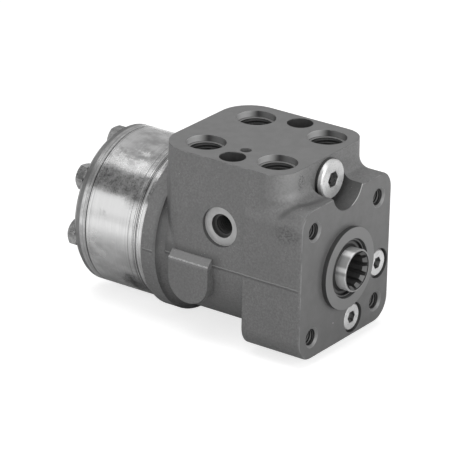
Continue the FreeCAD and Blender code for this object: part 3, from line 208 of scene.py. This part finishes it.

# Flash along the mould's joint, with a painted highlight on it and a painted shadow below it,
# but not over the side pads
wander = 0.5 * (grain(place, 12.0) - 0.5)
pad_face = side.rise(41.2, 41.5) * y.rise(50.0, 52.0) * y.fall(86.0, 87.0)
pad_face = pad_face.either(y.rise(84.6, 85.0) * y.fall(89.8, 90.2))
outside = side.rise(38.5, 39.5).both(y.fall(96.0, 96.5)).both(y.rise(1.0, 2.0)) * (1 - pad_face)
flash_and_highlight = abs(z - 0.35 - wander).fall(0.2, 0.5).both(outside)
flash_shadow = abs(z + 0.55 - wander).fall(0.25, 0.6).both(outside)

# Worn edges of the flange and the block, partly painted highlights along them; painted shade on
# the notch's wall and a painted highlight on its rim; and a nick under the boss
wear_and_edge_highlight = y.rise(0.0, 0.04) * y.fall(0.15, 0.4) * (1 - cut) * grain(place, 11.0).rise(0.42, 0.60)
wear_and_edge_highlight = wear_and_edge_highlight.either(z.rise(57.1, 57.4) * (1 - flat) * grain(place, 4.0).rise(0.5, 0.6))
notch_shade = relief_side.near(14.0, 0.1, 0.3) * y.rise(0.3, 0.6) * y.fall(13.0, 13.6)
notch_rim_highlight = relief_side.near(14.1, 0.1, 0.35) * y.rise(0.0, 0.04) * y.fall(0.25, 0.6)
notch_rim_highlight = notch_rim_highlight * x.rise(3.0, 6.0)
dot = away(x + 9.9, z + 27.8).either(abs(y) * 9.0).fall(0.3, 0.45)

# Painted light on the walls of the port recesses, and the rings at their floors
over = x - port_x * x.math("SIGN", x)
past = y - block_middle - port_y * y.math("SIGN", y - block_middle)
glint = (over * 0.0163 + past * 0.0938).rise(0.60, 1.05)
glint = glint.either(0.32 * (over * 0.0947 - past * 0.0134).rise(0.78, 1.08))
recess = cut * port.fall(10.5, 10.6)
glint = glint * recess * port.rise(9.9, 10.2) * z.rise(54.1, 54.4)
seat = z.near(recess_floor, 0.03, 0.1) * recess * port.rise(8.8, 8.9)

# Painted shade and light: shade on the signal port's recess wall, just above the side pads,
# in the nook behind the block, in a dim band and in the hollow between block and flange;
# light on the pads' ledges and brims, on the block's front and in a lit band beside it
signal_wall_shade = signal.near(10.65, 0.05, 0.15) * x.rise(-44.0, -43.0) * x.fall(-38.4, -38.2)
lit_ledge = side.rise(41.6, 42.0) * z.rise(-1.6, -1.2) * y.fall(84.5, 85.5) * y.rise(52.0, 53.0)
brim_highlight = side.rise(44.6, 44.8) * z.rise(-0.5, -0.1) * y.rise(52.0, 53.0) * y.fall(84.5, 85.5)
shade_above_pad = side.fall(41.1, 41.4) * z.near(2.5, 1.5, 5.5) * y.fall(84.0, 90.0) * y.rise(46.0, 53.0)
nook_shade = y.near(86.5, 1.5, 4.5) * side.rise(35.0, 37.0) * z.rise(-2.0, 6.0) * z.fall(26.0, 42.0)
lit_block_front = y.fall(18.0, 27.0) * z.rise(42.0, 44.5) * y.rise(9.0, 12.0) * rough_skin
lit = x.near(-27.0, 1.0, 11.0) * z.rise(43.0, 46.0) * y.fall(19.0, 22.0)
dim = y.near(23.5, 2.0, 6.0) * z.rise(38.0, 43.0) * rough_skin
valley = y - 3.8 - 0.02 * (x + 17.5) * (x + 17.5)
shelf_shadow = abs(valley).fall(0.3, 4.0)
shelf_shadow = shelf_shadow.either(0.5 * valley.fall(0.0, 2.5) * valley.rise(-14.0, -2.0))
shelf_shadow = shelf_shadow * z.rise(34.0, 39.0) * z.fall(44.0, 46.0)
shelf_shadow = shelf_shadow * x.fall(-9.0, -5.0) * rough_skin

# Colours, from the cast skin up to the marks on it, with painted shade and highlights among them
shade = tint(skin.rise(0.3, 0.7), colour(0.142), colour(0.205))
shade = tint(cloud.rise(0.4, 0.65) * 0.35, shade, colour(0.150))
shade = tint(pits.rise(0.48, 0.72) * 0.4, shade, colour(0.115))
shade = tint(lit_block_front * (0.55 + 0.45 * skin.rise(0.4, 0.6)), shade, colour(0.25))
shade = tint(lit * rough_skin * 0.5, shade, colour(0.40))
shade = tint(dim * 0.3, shade, colour(0.11))
shade = tint(shelf_shadow * 0.8, shade, colour(0.070))
shade = tint(shade_above_pad * outside * 0.5, shade, colour(0.075))
shade = tint(nook_shade * 0.6, shade, colour(0.085))
shade = tint(lit_ledge * 0.5, shade, colour(0.25))
shade = tint(brim_highlight * (0.25 + 0.65 * skin.rise(0.42, 0.55)), shade, colour(0.50))
shade = tint(notch_shade * 0.75, shade, colour(0.05))
shade = tint(speckle * 0.5, shade, colour(0.065))
shade = tint(spark * 0.6, shade, colour(0.38))
shade = tint(flat * 0.85, shade, tint(mottle, colour(0.168), colour(0.194)))
shade = tint(y.fall(-2.78, -2.7) * 0.9, shade, colour(0.255))
# The bore and recess walls are painted near black: painted shade inside them
shade = tint(cut * 0.85, shade, colour(0.05))
shade = tint(glint * 0.9, shade, colour(0.80))
shade = tint(seat * 0.9, shade, colour(0.27))
shade = tint(ring * 0.9, shade, tint(mottle, colour(0.46), colour(0.56)))
shade = tint(boss_side_shade * 0.9, shade, colour(0.045))
shade = tint(wear_and_edge_highlight * 0.38, shade, colour(0.45))
shade = tint(notch_rim_highlight * 0.8, shade, colour(0.75))
shade = tint(sunk * 0.8, shade, colour(0.31))
shade = tint(signal_wall_shade * 0.8, shade, colour(0.055))
shade = tint(dot * 0.8, shade, colour(0.60))
shade = tint(flash_shadow * 0.5, shade, colour(0.07))
shade = tint(flash_and_highlight * 0.7, shade, colour(0.30))
gloss = 0.55 - 0.1 * smooth + 0.1 * (skin - 0.5)
height = (skin * 0.9 + pits * 0.9 - speckle * 1.5) * (1 - smooth * 0.93) + flash_and_highlight * 2.4
finish(["housing"], end(iron, place, shade, gloss, 0.2, height, depth=0.16, edge=0.25))


# Threads: cut with taps into the ports, the two bolt holes, the flange's four holes and the
# load signal port. Each is a liner on the wall of its bore, and rides on the housing.
def thread_liner(core, depth, pitch, length):
    """Wall of a threaded hole about +Z, mouth at z = 0, as points and faces.

    The radius is the core radius less a small gap and less the depth times a rounded wave
    of the phase z / pitch - angle / (2 pi), so one crest climbs a pitch in each turn.
    """
    around, steps_in_pitch, gap, steepness, root = 72, 10, 0.03, 1.55, 0.2
    steps = round(length / pitch * steps_in_pitch)
    angle, drop = np.meshgrid(np.arange(around) * 2 * np.pi / around,
                              np.linspace(0.0, length, steps + 1))
    phase = (drop / pitch - angle / (2 * np.pi)) % 1.0
    wave = np.clip(steepness * (1.0 - np.abs(2.0 * phase - 1.0)) - root, 0.0, 1.0)
    fade = np.clip(drop / pitch, 0.0, 1.0)
    radius = core - gap - depth * wave * fade
    points = np.stack([radius * np.cos(angle), radius * np.sin(angle), -drop], -1).reshape(-1, 3)
    row, column = np.meshgrid(np.arange(steps), np.arange(around), indexing="ij")
    after = (column + 1) % around
    first, second = row * around + column, row * around + after
    faces = np.stack([first, second, second + around, first + around], -1).reshape(-1, 4)
    return points, faces


def piece(name, parts, material, body="housing", smooth=True):
    """One mesh object from lists of points and faces in millimetres."""
    points, faces, start = [], [], 0
    for some_points, some_faces in parts:
        points.append(some_points)
        faces += (some_faces + start).tolist()
        start += len(some_points)
    mesh = bpy.data.meshes.new(name)
    mesh.from_pydata((np.concatenate(points) / 1000).tolist(), [], faces)
    mesh.polygons.foreach_set("use_smooth", [smooth] * len(mesh.polygons))
    mesh.materials.append(material)
    made = bpy.data.objects.new(name, mesh)
    bpy.context.collection.objects.link(made)
    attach(made, body)
    return made


def placed(part, spot, right, up):
    """A part turned so that its x and y run along right and up, then moved to the spot."""
    points, faces = part
    turned = points @ np.stack([right, up, np.cross(right, up)]).astype(float)
    return turned + np.array(spot), faces


cut_thread, place, x, y, z = begin("cut_thread")
swarf = grain(place, 0.9)
crest_highlight = away(abs(x) - corner_hole, abs(z) - corner_hole).fall(3.80, 4.12).both(y.fall(16.0, 17.0))
# Painted shade makes the threads near black; the flange holes' crests get a painted highlight
shade = tint(swarf, colour(0.012), colour(0.035))
shade = tint(crest_highlight * 0.9, shade, colour(0.20))
finish_thread = end(cut_thread, place, shade, 0.55, 0.2, swarf, depth=0.05)
across, along, upward = (1, 0, 0), (0, 1, 0), (0, 0, 1)
bolt_mouth, hole_mouth, signal_mouth = 49.6, 1.35, -35.8
port_thread = thread_liner(core=8.75, depth=0.85, pitch=1.814, length=13.3)
ports = [placed(port_thread, (px, py, recess_floor), across, along)
         for px in (-port_x, port_x) for py in (block_middle - port_y, block_middle + port_y)]
piece("port_threads", ports, finish_thread)
bolt_thread = thread_liner(core=4.3, depth=0.6, pitch=1.5, length=13.9)
bolts = [placed(bolt_thread, (px, block_middle, bolt_mouth), across, along)
         for px in (-bolt_x, bolt_x)]
piece("bolt_threads", bolts, finish_thread)
flange_thread = thread_liner(core=4.3, depth=0.62, pitch=1.5, length=14.5)
flanges = [placed(flange_thread, (px, hole_mouth, pz), across, upward)
           for px in (-corner_hole, corner_hole) for pz in (-corner_hole, corner_hole)]
piece("flange_threads", flanges, finish_thread)
signal_thread = thread_liner(core=5.0, depth=0.6, pitch=1.5, length=10.4)
signal_place = (signal_mouth, block_middle, signal_height)
piece("signal_thread", [placed(signal_thread, signal_place, (0, -1, 0), upward)], finish_thread)


# Gear set: the distributor plate, gear ring and end cover are steel discs, ground on their
# faces and turned on the outside, left bare and stained by the phosphating bath. The seven
# cover screws clamp them to the housing.
def round_axis(x, z):
    """Angle about the spool's axis in degrees: 0 on the left side and 90 on top."""
    degrees = 57.3
    return z.math("ARCTAN2", z, 0 - x) * degrees


# Where the three discs meet the housing and each other
plate_front, ring_front, cover_front, cover_rear = 97.2, 102.7, 135.2, 138.8

steel, place, x, y, z = begin("turned_steel")
angle = round_axis(x, z)
lines = grain(place, 1.0, 4.0, stretch=(40.0, 0.3, 40.0), rough=0.7)
fine = grain(place, 1.0, 2.0, stretch=(50.0, 0.06, 50.0))
bands = grain(place, 1.0, stretch=(300.0, 0.9, 300.0))
stain = grain(place, 13.0, 5.0, rough=0.66)
spots = grain(place, 4.0, 6.0, rough=0.6)
cloudy = grain(place, 8.0, stretch=(1.0, 1.6, 1.0), rough=0.6).rise(0.32, 0.66)
speck = grain(place, 0.9, 2.0).rise(0.50, 0.62)
drift = 30.0 * (stain - 0.5)
rear = y.rise(cover_rear, cover_rear + 0.8)
outer = 1 - rear

# Grooves, and painted highlights beside the seams between the discs
near_seam = y.near(103.5, 1.5, 7.0).either(y.near(cover_front, 0.6, 3.5))
seam = y.near(ring_front, 0.15, 0.4).either(y.near(cover_front, 0.2, 0.45))
seam = seam.either(y.near(plate_front, 0.08, 0.3)) * away(x, z).rise(38.0, 39.0)
seam_highlight = y.near(136.3, 0.2, 0.6).either(y.near(101.4, 0.3, 0.9))
grooves = near_seam * bands.rise(0.50, 0.56)

# Dark marks of the bath, a dark band about 40 degrees up that is a painted reflection, and pale
# clouds where it ran off
stains_and_dark_reflection = abs(angle - 40.0 + drift * 0.3).fall(6.0, 12.0) * (0.55 + 0.35 * spots.rise(0.30, 0.66))
mark = away((angle - 43.0) * 0.9, y - 129.5).both(away((angle - 32.0) * 0.9, y - 107.0) + 1.0)
mark = mark.both(away((angle + 42.0) * 0.7, y - 108.0) - 2.0)
mark = mark.both(away((angle + 15.0) * 0.8, y - 131.0) + 3.5)
marked = (mark + drift * 0.45).fall(1.0, 10.0)
stains_and_dark_reflection = stains_and_dark_reflection.either(marked * (0.75 + 0.45 * spots.rise(0.30, 0.70)))
stains_and_dark_reflection = stains_and_dark_reflection.either(stain.rise(0.60, 0.78) * spots.rise(0.36, 0.66) * 0.5)
bloom = abs(angle - 61.0 + drift).fall(2.0, 12.0) * y.near(120.0, 6.0, 18.0)
patch = abs(angle + 9.0 - drift * 0.8).fall(2.0, 17.0) * abs(y - 126.0 + drift).fall(3.0, 15.0)
pale = (bloom.either(patch) * cloudy).either(stain.fall(0.22, 0.46) * 0.3)
stains_and_dark_reflection, pale = stains_and_dark_reflection * outer, pale * outer
# Painted shade: darker on the lower side of the discs
lower_side_shade = angle.fall(-16.0, 6.0) * angle.rise(-120.0, -90.0) * outer
# Darker towards the top, except in the pale clouds
darker_top = angle.rise(50.0, 60.0) * (1 - cloudy) * outer
strip = y.rise(135.4, 135.8) * outer * (0.25 + 0.5 * spots.rise(0.35, 0.65))

shade = tint(lines.rise(0.3, 0.7), colour(0.54), colour(0.70))
# A painted reflection: a light band along the discs about 22 degrees up
shade = tint(angle.near(22.0, 3.0, 11.0) * outer * 0.6, shade, colour(0.88))
shade = tint(lower_side_shade * (0.3 + 0.4 * cloudy), shade, colour(0.28))
shade = tint(darker_top * 0.7, shade, colour(0.28))
shade = tint(stains_and_dark_reflection * 0.82, shade, colour(0.05))
shade = tint(stains_and_dark_reflection * speck * 0.6, shade, colour(0.015))
shade = tint(pale * 0.5, shade, colour(0.85))
shade = tint(patch * (1 - cloudy) * outer * 0.45, shade, colour(0.30))
shade = tint(grooves * 0.75, shade, colour(0.12))
shade = tint(seam_highlight * 0.25 * lines.rise(0.3, 0.5), shade, colour(0.90))
shade = tint(strip, shade, colour(0.34))
shade = tint(rear * 0.9, shade, tint(spots.rise(0.3, 0.7), colour(0.12), colour(0.18)))
shade = tint(seam * 0.92, shade, colour(0.02))
gloss = 0.17 + 0.25 * stains_and_dark_reflection + 0.22 * pale + 0.2 * rear + 0.10 * (lines - 0.5)
height = lines * 0.5 + fine * 0.3 - grooves * 2.0
finish(["distributor_plate", "gear_ring", "end_cover"],
       end(steel, place, shade, gloss, 0.88 - 0.3 * pale, height, depth=0.025, edge=0.3))


# Cover screws: seven hexagon head screws with washers, cold headed from steel and zinc
# plated. They clamp the gear set to the housing, and one of them sits over the check valve's
# rolled pin. The relief valve's adjuster has the same finish.
zinc, place, *_ = begin("zinc_plate")
haze = grain(place, 4.0, 4.0)
scratch = grain(place, 0.5, stretch=(1.0, 6.0, 1.0))
shade = tint(haze.rise(0.25, 0.75), colour(0.20), colour(0.46))
finish(["cover_screws", "pin_screw", "screw_washers", "relief_adjuster"],
       end(zinc, place, shade, 0.22 + 0.12 * scratch, 0.9, scratch + haze, depth=0.08, edge=0.4))


# Plugs: turned steel heads with a hexagon socket, zinc plated and bright, over the relief
# valve in the port block and over the two shock valves in the flange.
plated, place, x, y, z = begin("bright_plug")
turned = grain(place, 0.6)
blot = grain(place, 2.6, 4.0, rough=0.7)
relief = away(x, z - relief_height)
lower = away(x - shock_near, z + shock_far)
right_plug = away(x - shock_far, z + shock_near)
shock = lower.both(right_plug)
socket = relief.fall(4.65, 4.7).both(y.rise(9.6, 9.8))
socket = socket.either(shock.fall(3.5, 3.55).both(y.rise(0.9, 1.1)))
reach = relief.both(shock)
groove = reach.math("SINE", reach * 22.0)

# Two fans of light on each turned face, by the angle about the plug's own axis
lower_turn = z.math("ARCTAN2", z + shock_far, x - shock_near)
right_turn = z.math("ARCTAN2", z + shock_near, x - shock_far)
relief_turn = z.math("ARCTAN2", z - relief_height, x)
off_lower, off_right = lower.rise(9.0, 9.1), right_plug.rise(9.0, 9.1)
turn = relief_turn * off_lower * off_right
turn = turn + lower_turn * (1 - off_lower) + right_turn * (1 - off_right)
fan = turn.math("COSINE", turn * 2.0 + 0.5).rise(-0.2, 0.9)

shade = tint(turned, colour(0.68), colour(0.88))
shade = tint(fan * 0.55, shade, colour(0.98))
shade = tint((1 - fan) * 0.25, shade, colour(0.50))
# Painted light: the shock plugs are made lighter than the relief plug
shade = tint(shock.fall(9.0, 9.1) * 0.6, shade, tint(fan, colour(0.84), colour(1.0)))
shade = tint(blot.rise(0.5, 0.7) * 0.35, shade, colour(0.36))
# Painted shade: the hexagon sockets are near black
shade = tint(socket * (0.7 + 0.3 * blot.rise(0.4, 0.6)), shade, colour(0.06))
gloss = 0.24 + 0.1 * turned + 0.3 * socket
finish(["relief_plug", "shock_plug_lower", "shock_plug_right"],
       end(plated, place, shade, gloss, 0.48 - 0.2 * socket,
           turned + groove * 0.4, depth=0.02, edge=0.2))


# Control spool and sleeve: hardened steel, ground bright, one sliding in the other. Only the
# spool's neck shows, with the input spline broached inside it.
ground, place, x, y, z = begin("ground_steel")
lines = grain(place, 1.0, stretch=(20.0, 0.12, 20.0))
angle, reach = round_axis(x, z), away(x, z)
inside = reach.fall(10.42, 10.48)
lead = (10.4 - 0.8 * (y + 6.7)).both(10.2)
deep_shade = inside * y.rise(-5.0, -4.6).either((reach - lead).rise(0.1, 0.2))
teeth = inside * (1 - deep_shade)
neck = reach.rise(10.95, 11.1).both(y.fall(-0.5, 0.5))
# Painted highlights: bright lobes on the neck by the angle about the axis, over a pale base
shine = angle.near(66.0, 3.0, 15.0).either(0.75 * angle.near(17.0, 2.0, 10.0))
shine = shine.either(0.45 * angle.fall(-2.0, 6.0))
shade = tint(lines, colour(0.55), colour(0.72))
shade = tint(y.fall(-7.25, -7.15), shade, colour(0.32))
shade = tint(neck * 0.95, shade, tint(shine, colour(0.36), colour(1.0)))
# Painted shade: the spline's teeth and the deep bore are dark
shade = tint(teeth * 0.9, shade, colour(0.15))
shade = tint(deep_shade, shade, colour(0.09))
finish(["control_spool", "control_sleeve", "spring_ring", "spacer"],
       end(ground, place, shade, 0.22 + 0.15 * lines + 0.25 * inside,
           0.95 - 0.9 * neck - 0.6 * inside, lines, depth=0.02, edge=0.15))


# Cardan shaft, rotor and pins: case hardened steel, ground where they run and dull elsewhere.
# The cross pin ties the shaft's fork to the sleeve, and the shaft's teeth drive the rotor.
hardened, place, *_ = begin("hardened_steel")
lines = grain(place, 1.6, stretch=(1.0, 4.0, 1.0))
haze = grain(place, 9.0)
shade = tint(haze, colour(0.38), colour(0.52))
finish(["cardan_shaft", "rotor", "cross_pin", "roll_pin"],
       end(hardened, place, shade, 0.3 + 0.15 * lines, 0.9, lines, depth=0.03))


# Bearing, balls and seats: rolled and lapped bearing steel, held by the housing and the plugs.
# The needles run in a cage moulded from tan plastic.
lapped, place, *_ = begin("lapped_steel")
swirl = grain(place, 1.2)
shade = tint(swirl, colour(0.58), colour(0.70))
finish(["bearing_race_fixed", "bearing_race_moving", "bearing_needles", "check_ball",
        "relief_seat", "relief_cone", "shock_seat_lower", "shock_seat_right",
        "shock_ball_lower", "shock_ball_right"],
       end(lapped, place, shade, 0.18 + 0.1 * swirl, 0.95, swirl, depth=0.01))
moulded, place, *_ = begin("moulded_cage")
flow = grain(place, 5.0)
shade = tint(flow, colour(0.36, warm=0.2), colour(0.44, warm=0.2))
finish(["bearing_cage"],
       end(moulded, place, shade, 0.5 + 0.1 * flow, 0.0, flow, depth=0.03))


# Springs: the leaf springs are cut from strip and the others wound from wire, all hardened
# and blued. The leaves sit in slots of spool and sleeve, the coils behind the valves.
blued, place, *_ = begin("blued_steel")
heat = grain(place, 3.0)
shade = tint(heat, (0.16, 0.17, 0.21, 1), (0.30, 0.31, 0.34, 1))
finish(["leaf_springs", "relief_spring", "shock_spring_lower", "shock_spring_right"],
       end(blued, place, shade, 0.32 + 0.1 * heat, 0.85, heat, depth=0.02))


# Seals: a moulded rubber dust seal, rubber O-rings and a dark plastic shaft seal, each pressed
# into its groove. The dust seal's lips catch light, and the relief plug's washer is as dark.
rubber, place, x, y, z = begin("seal_rubber")
dust = grain(place, 1.4, 4.0)
reach = away(x, z)
lips = reach.near(15.0, 0.1, 0.3).either(0.6 * reach.near(13.2, 0.4, 0.9))
lips = lips.both(y.fall(4.0, 5.0))
shade = tint(lips, tint(dust, colour(0.018), colour(0.035)), colour(0.20))
finish(["dust_seal", "face_o_rings", "shaft_seal", "relief_washer"],
       end(rubber, place, shade, 0.5 + 0.2 * dust, 0.0, dust, depth=0.03))


# Studio: a white paper floor that keeps a faint shadow, and a bright surround with a darker
# gap for the metal to mirror. Soft boxes stand above, in front and on the left.
def floor_points(half, level):
    """A flat square: x and y run from -half to half, and z is the level."""
    cells = 8
    lines = cells + 1
    u, v = np.meshgrid(np.linspace(-half, half, lines), np.linspace(-half, half, lines))
    points = np.stack([u, v, np.full_like(u, level)], -1).reshape(-1, 3)
    row, column = np.meshgrid(np.arange(cells), np.arange(cells), indexing="ij")
    first = row * lines + column
    corners = [first, first + 1, first + lines + 1, first + lines]
    return points, np.stack(corners, -1).reshape(-1, 4)


gap_below, floor_half, paper_glow = 0.05, 3000.0, 0.72
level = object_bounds()[0][2] * 1000 - gap_below
points, faces = floor_points(floor_half, level)
mesh = bpy.data.meshes.new("floor")
mesh.from_pydata((points / 1000).tolist(), [], faces.tolist())
floor = bpy.data.objects.new("floor", mesh)
bpy.context.collection.objects.link(floor)
paper = bpy.data.materials.new("floor_paper")
paper.use_nodes = True
paper.node_tree.nodes.clear()
start = Shade(paper.node_tree)
ray = start.node("ShaderNodeLightPath", out="Is Camera Ray")
shiny = start.node("ShaderNodeLightPath", out="Is Glossy Ray")
spot = start.node("ShaderNodeVectorMath", {"operation": "DISTANCE"}, {
    0: start.node("ShaderNodeTexCoord", out="Object"), 1: (0.0, 0.065, level / 1000)}, out=1)
matte = start.node("ShaderNodeBsdfDiffuse", inputs={"Color": (0.62, 0.62, 0.62, 1)})
# Painted shadow: the floor's glow in reflections is dimmed near the object
mirrored = shiny * (0.05 + paper_glow * spot.rise(0.07, 0.30))
glow = start.node("ShaderNodeEmission", inputs={
    "Color": (1, 1, 1, 1), "Strength": (paper_glow * ray).either(mirrored)})
surface = start.node("ShaderNodeAddShader", inputs={0: matte, 1: glow})
start.node("ShaderNodeOutputMaterial", inputs={"Surface": surface})
mesh.materials.append(paper)

world = bpy.data.worlds.new("studio")
world.use_nodes = True
world.node_tree.nodes.clear()
start = Shade(world.node_tree)
camera_ray = start.node("ShaderNodeLightPath", out="Is Camera Ray")
glossy_ray = start.node("ShaderNodeLightPath", out="Is Glossy Ray")
direction = start.node("ShaderNodeTexCoord", out="Generated")
sideways, _, height = [start.node("ShaderNodeSeparateXYZ", inputs={0: direction}, out=i)
                       for i in range(3)]
gap = height.rise(0.45, 0.56) * height.fall(0.72, 0.80) * sideways.fall(-0.15, 0.10)
dusk = sideways.rise(-0.10, 0.15)
brightness = 0.28 + 0.72 * camera_ray + glossy_ray * (0.66 - 0.84 * gap - 0.34 * dusk)
start.node("ShaderNodeOutputWorld", inputs={"Surface": start.node(
    "ShaderNodeBackground", inputs={"Color": (1, 1, 1, 1), "Strength": brightness})})
bpy.context.scene.world = world
bpy.context.scene.view_settings.view_transform = "Standard"


def soft_box(name, spot, aim, size, watts):
    """A lamp as large as size, in metres, that stands at the spot and shines at the aim."""
    lamp = bpy.data.lights.new(name, "AREA")
    lamp.shape, lamp.size, lamp.size_y, lamp.energy = "RECTANGLE", size[0], size[1], watts
    stand = bpy.data.objects.new(name, lamp)
    stand.location = spot
    stand.rotation_euler = (Vector(aim) - Vector(spot)).to_track_quat("-Z", "Y").to_euler()
    bpy.context.collection.objects.link(stand)


middle = (0.0, 0.065, 0.0)
soft_box("soft_box_above", (-0.1, 0.1, 0.75), middle, size=(0.7, 0.7), watts=3.1)
soft_box("soft_box_front", (-0.15, -0.75, 0.35), middle, size=(0.5, 0.5), watts=2.45)
soft_box("soft_box_left", (-0.8, 0.1, 0.3), middle, size=(0.4, 0.6), watts=1.6)


# Camera: a long lens at the photograph's angle. Its place follows from the turn round the
# object, the height above it, a slight roll and the distance.
turn_round, rise_up, roll = (math.radians(a) for a in (-54.83, 22.81, 1.24))
distance, shift_right, shift_up = 1796.86, 61.15, -21.08
focal_pixels, picture_pixels, sensor = 3512.84, 452, 36.0
back = np.array([math.sin(turn_round) * math.cos(rise_up),
                 -math.cos(turn_round) * math.cos(rise_up), math.sin(rise_up)])
right = np.array([math.cos(turn_round), math.sin(turn_round), 0.0])
up = np.cross(back, right)
right, up = (math.cos(roll) * right + math.sin(roll) * up,
             math.cos(roll) * up - math.sin(roll) * right)
spot = (distance * back - shift_right * right - shift_up * up) / 1000
lens = bpy.data.cameras.new("camera")
lens.sensor_width, lens.lens = sensor, focal_pixels / picture_pixels * sensor
lens.clip_start, lens.clip_end = 0.05, 20.0
camera = bpy.data.objects.new("camera", lens)
camera.matrix_world = Matrix([[*row, part] for row, part in zip(
    np.stack([right, up, back], 1).tolist(), spot.tolist())] + [[0, 0, 0, 1]])
bpy.context.collection.objects.link(camera)
bpy.context.scene.camera = camera
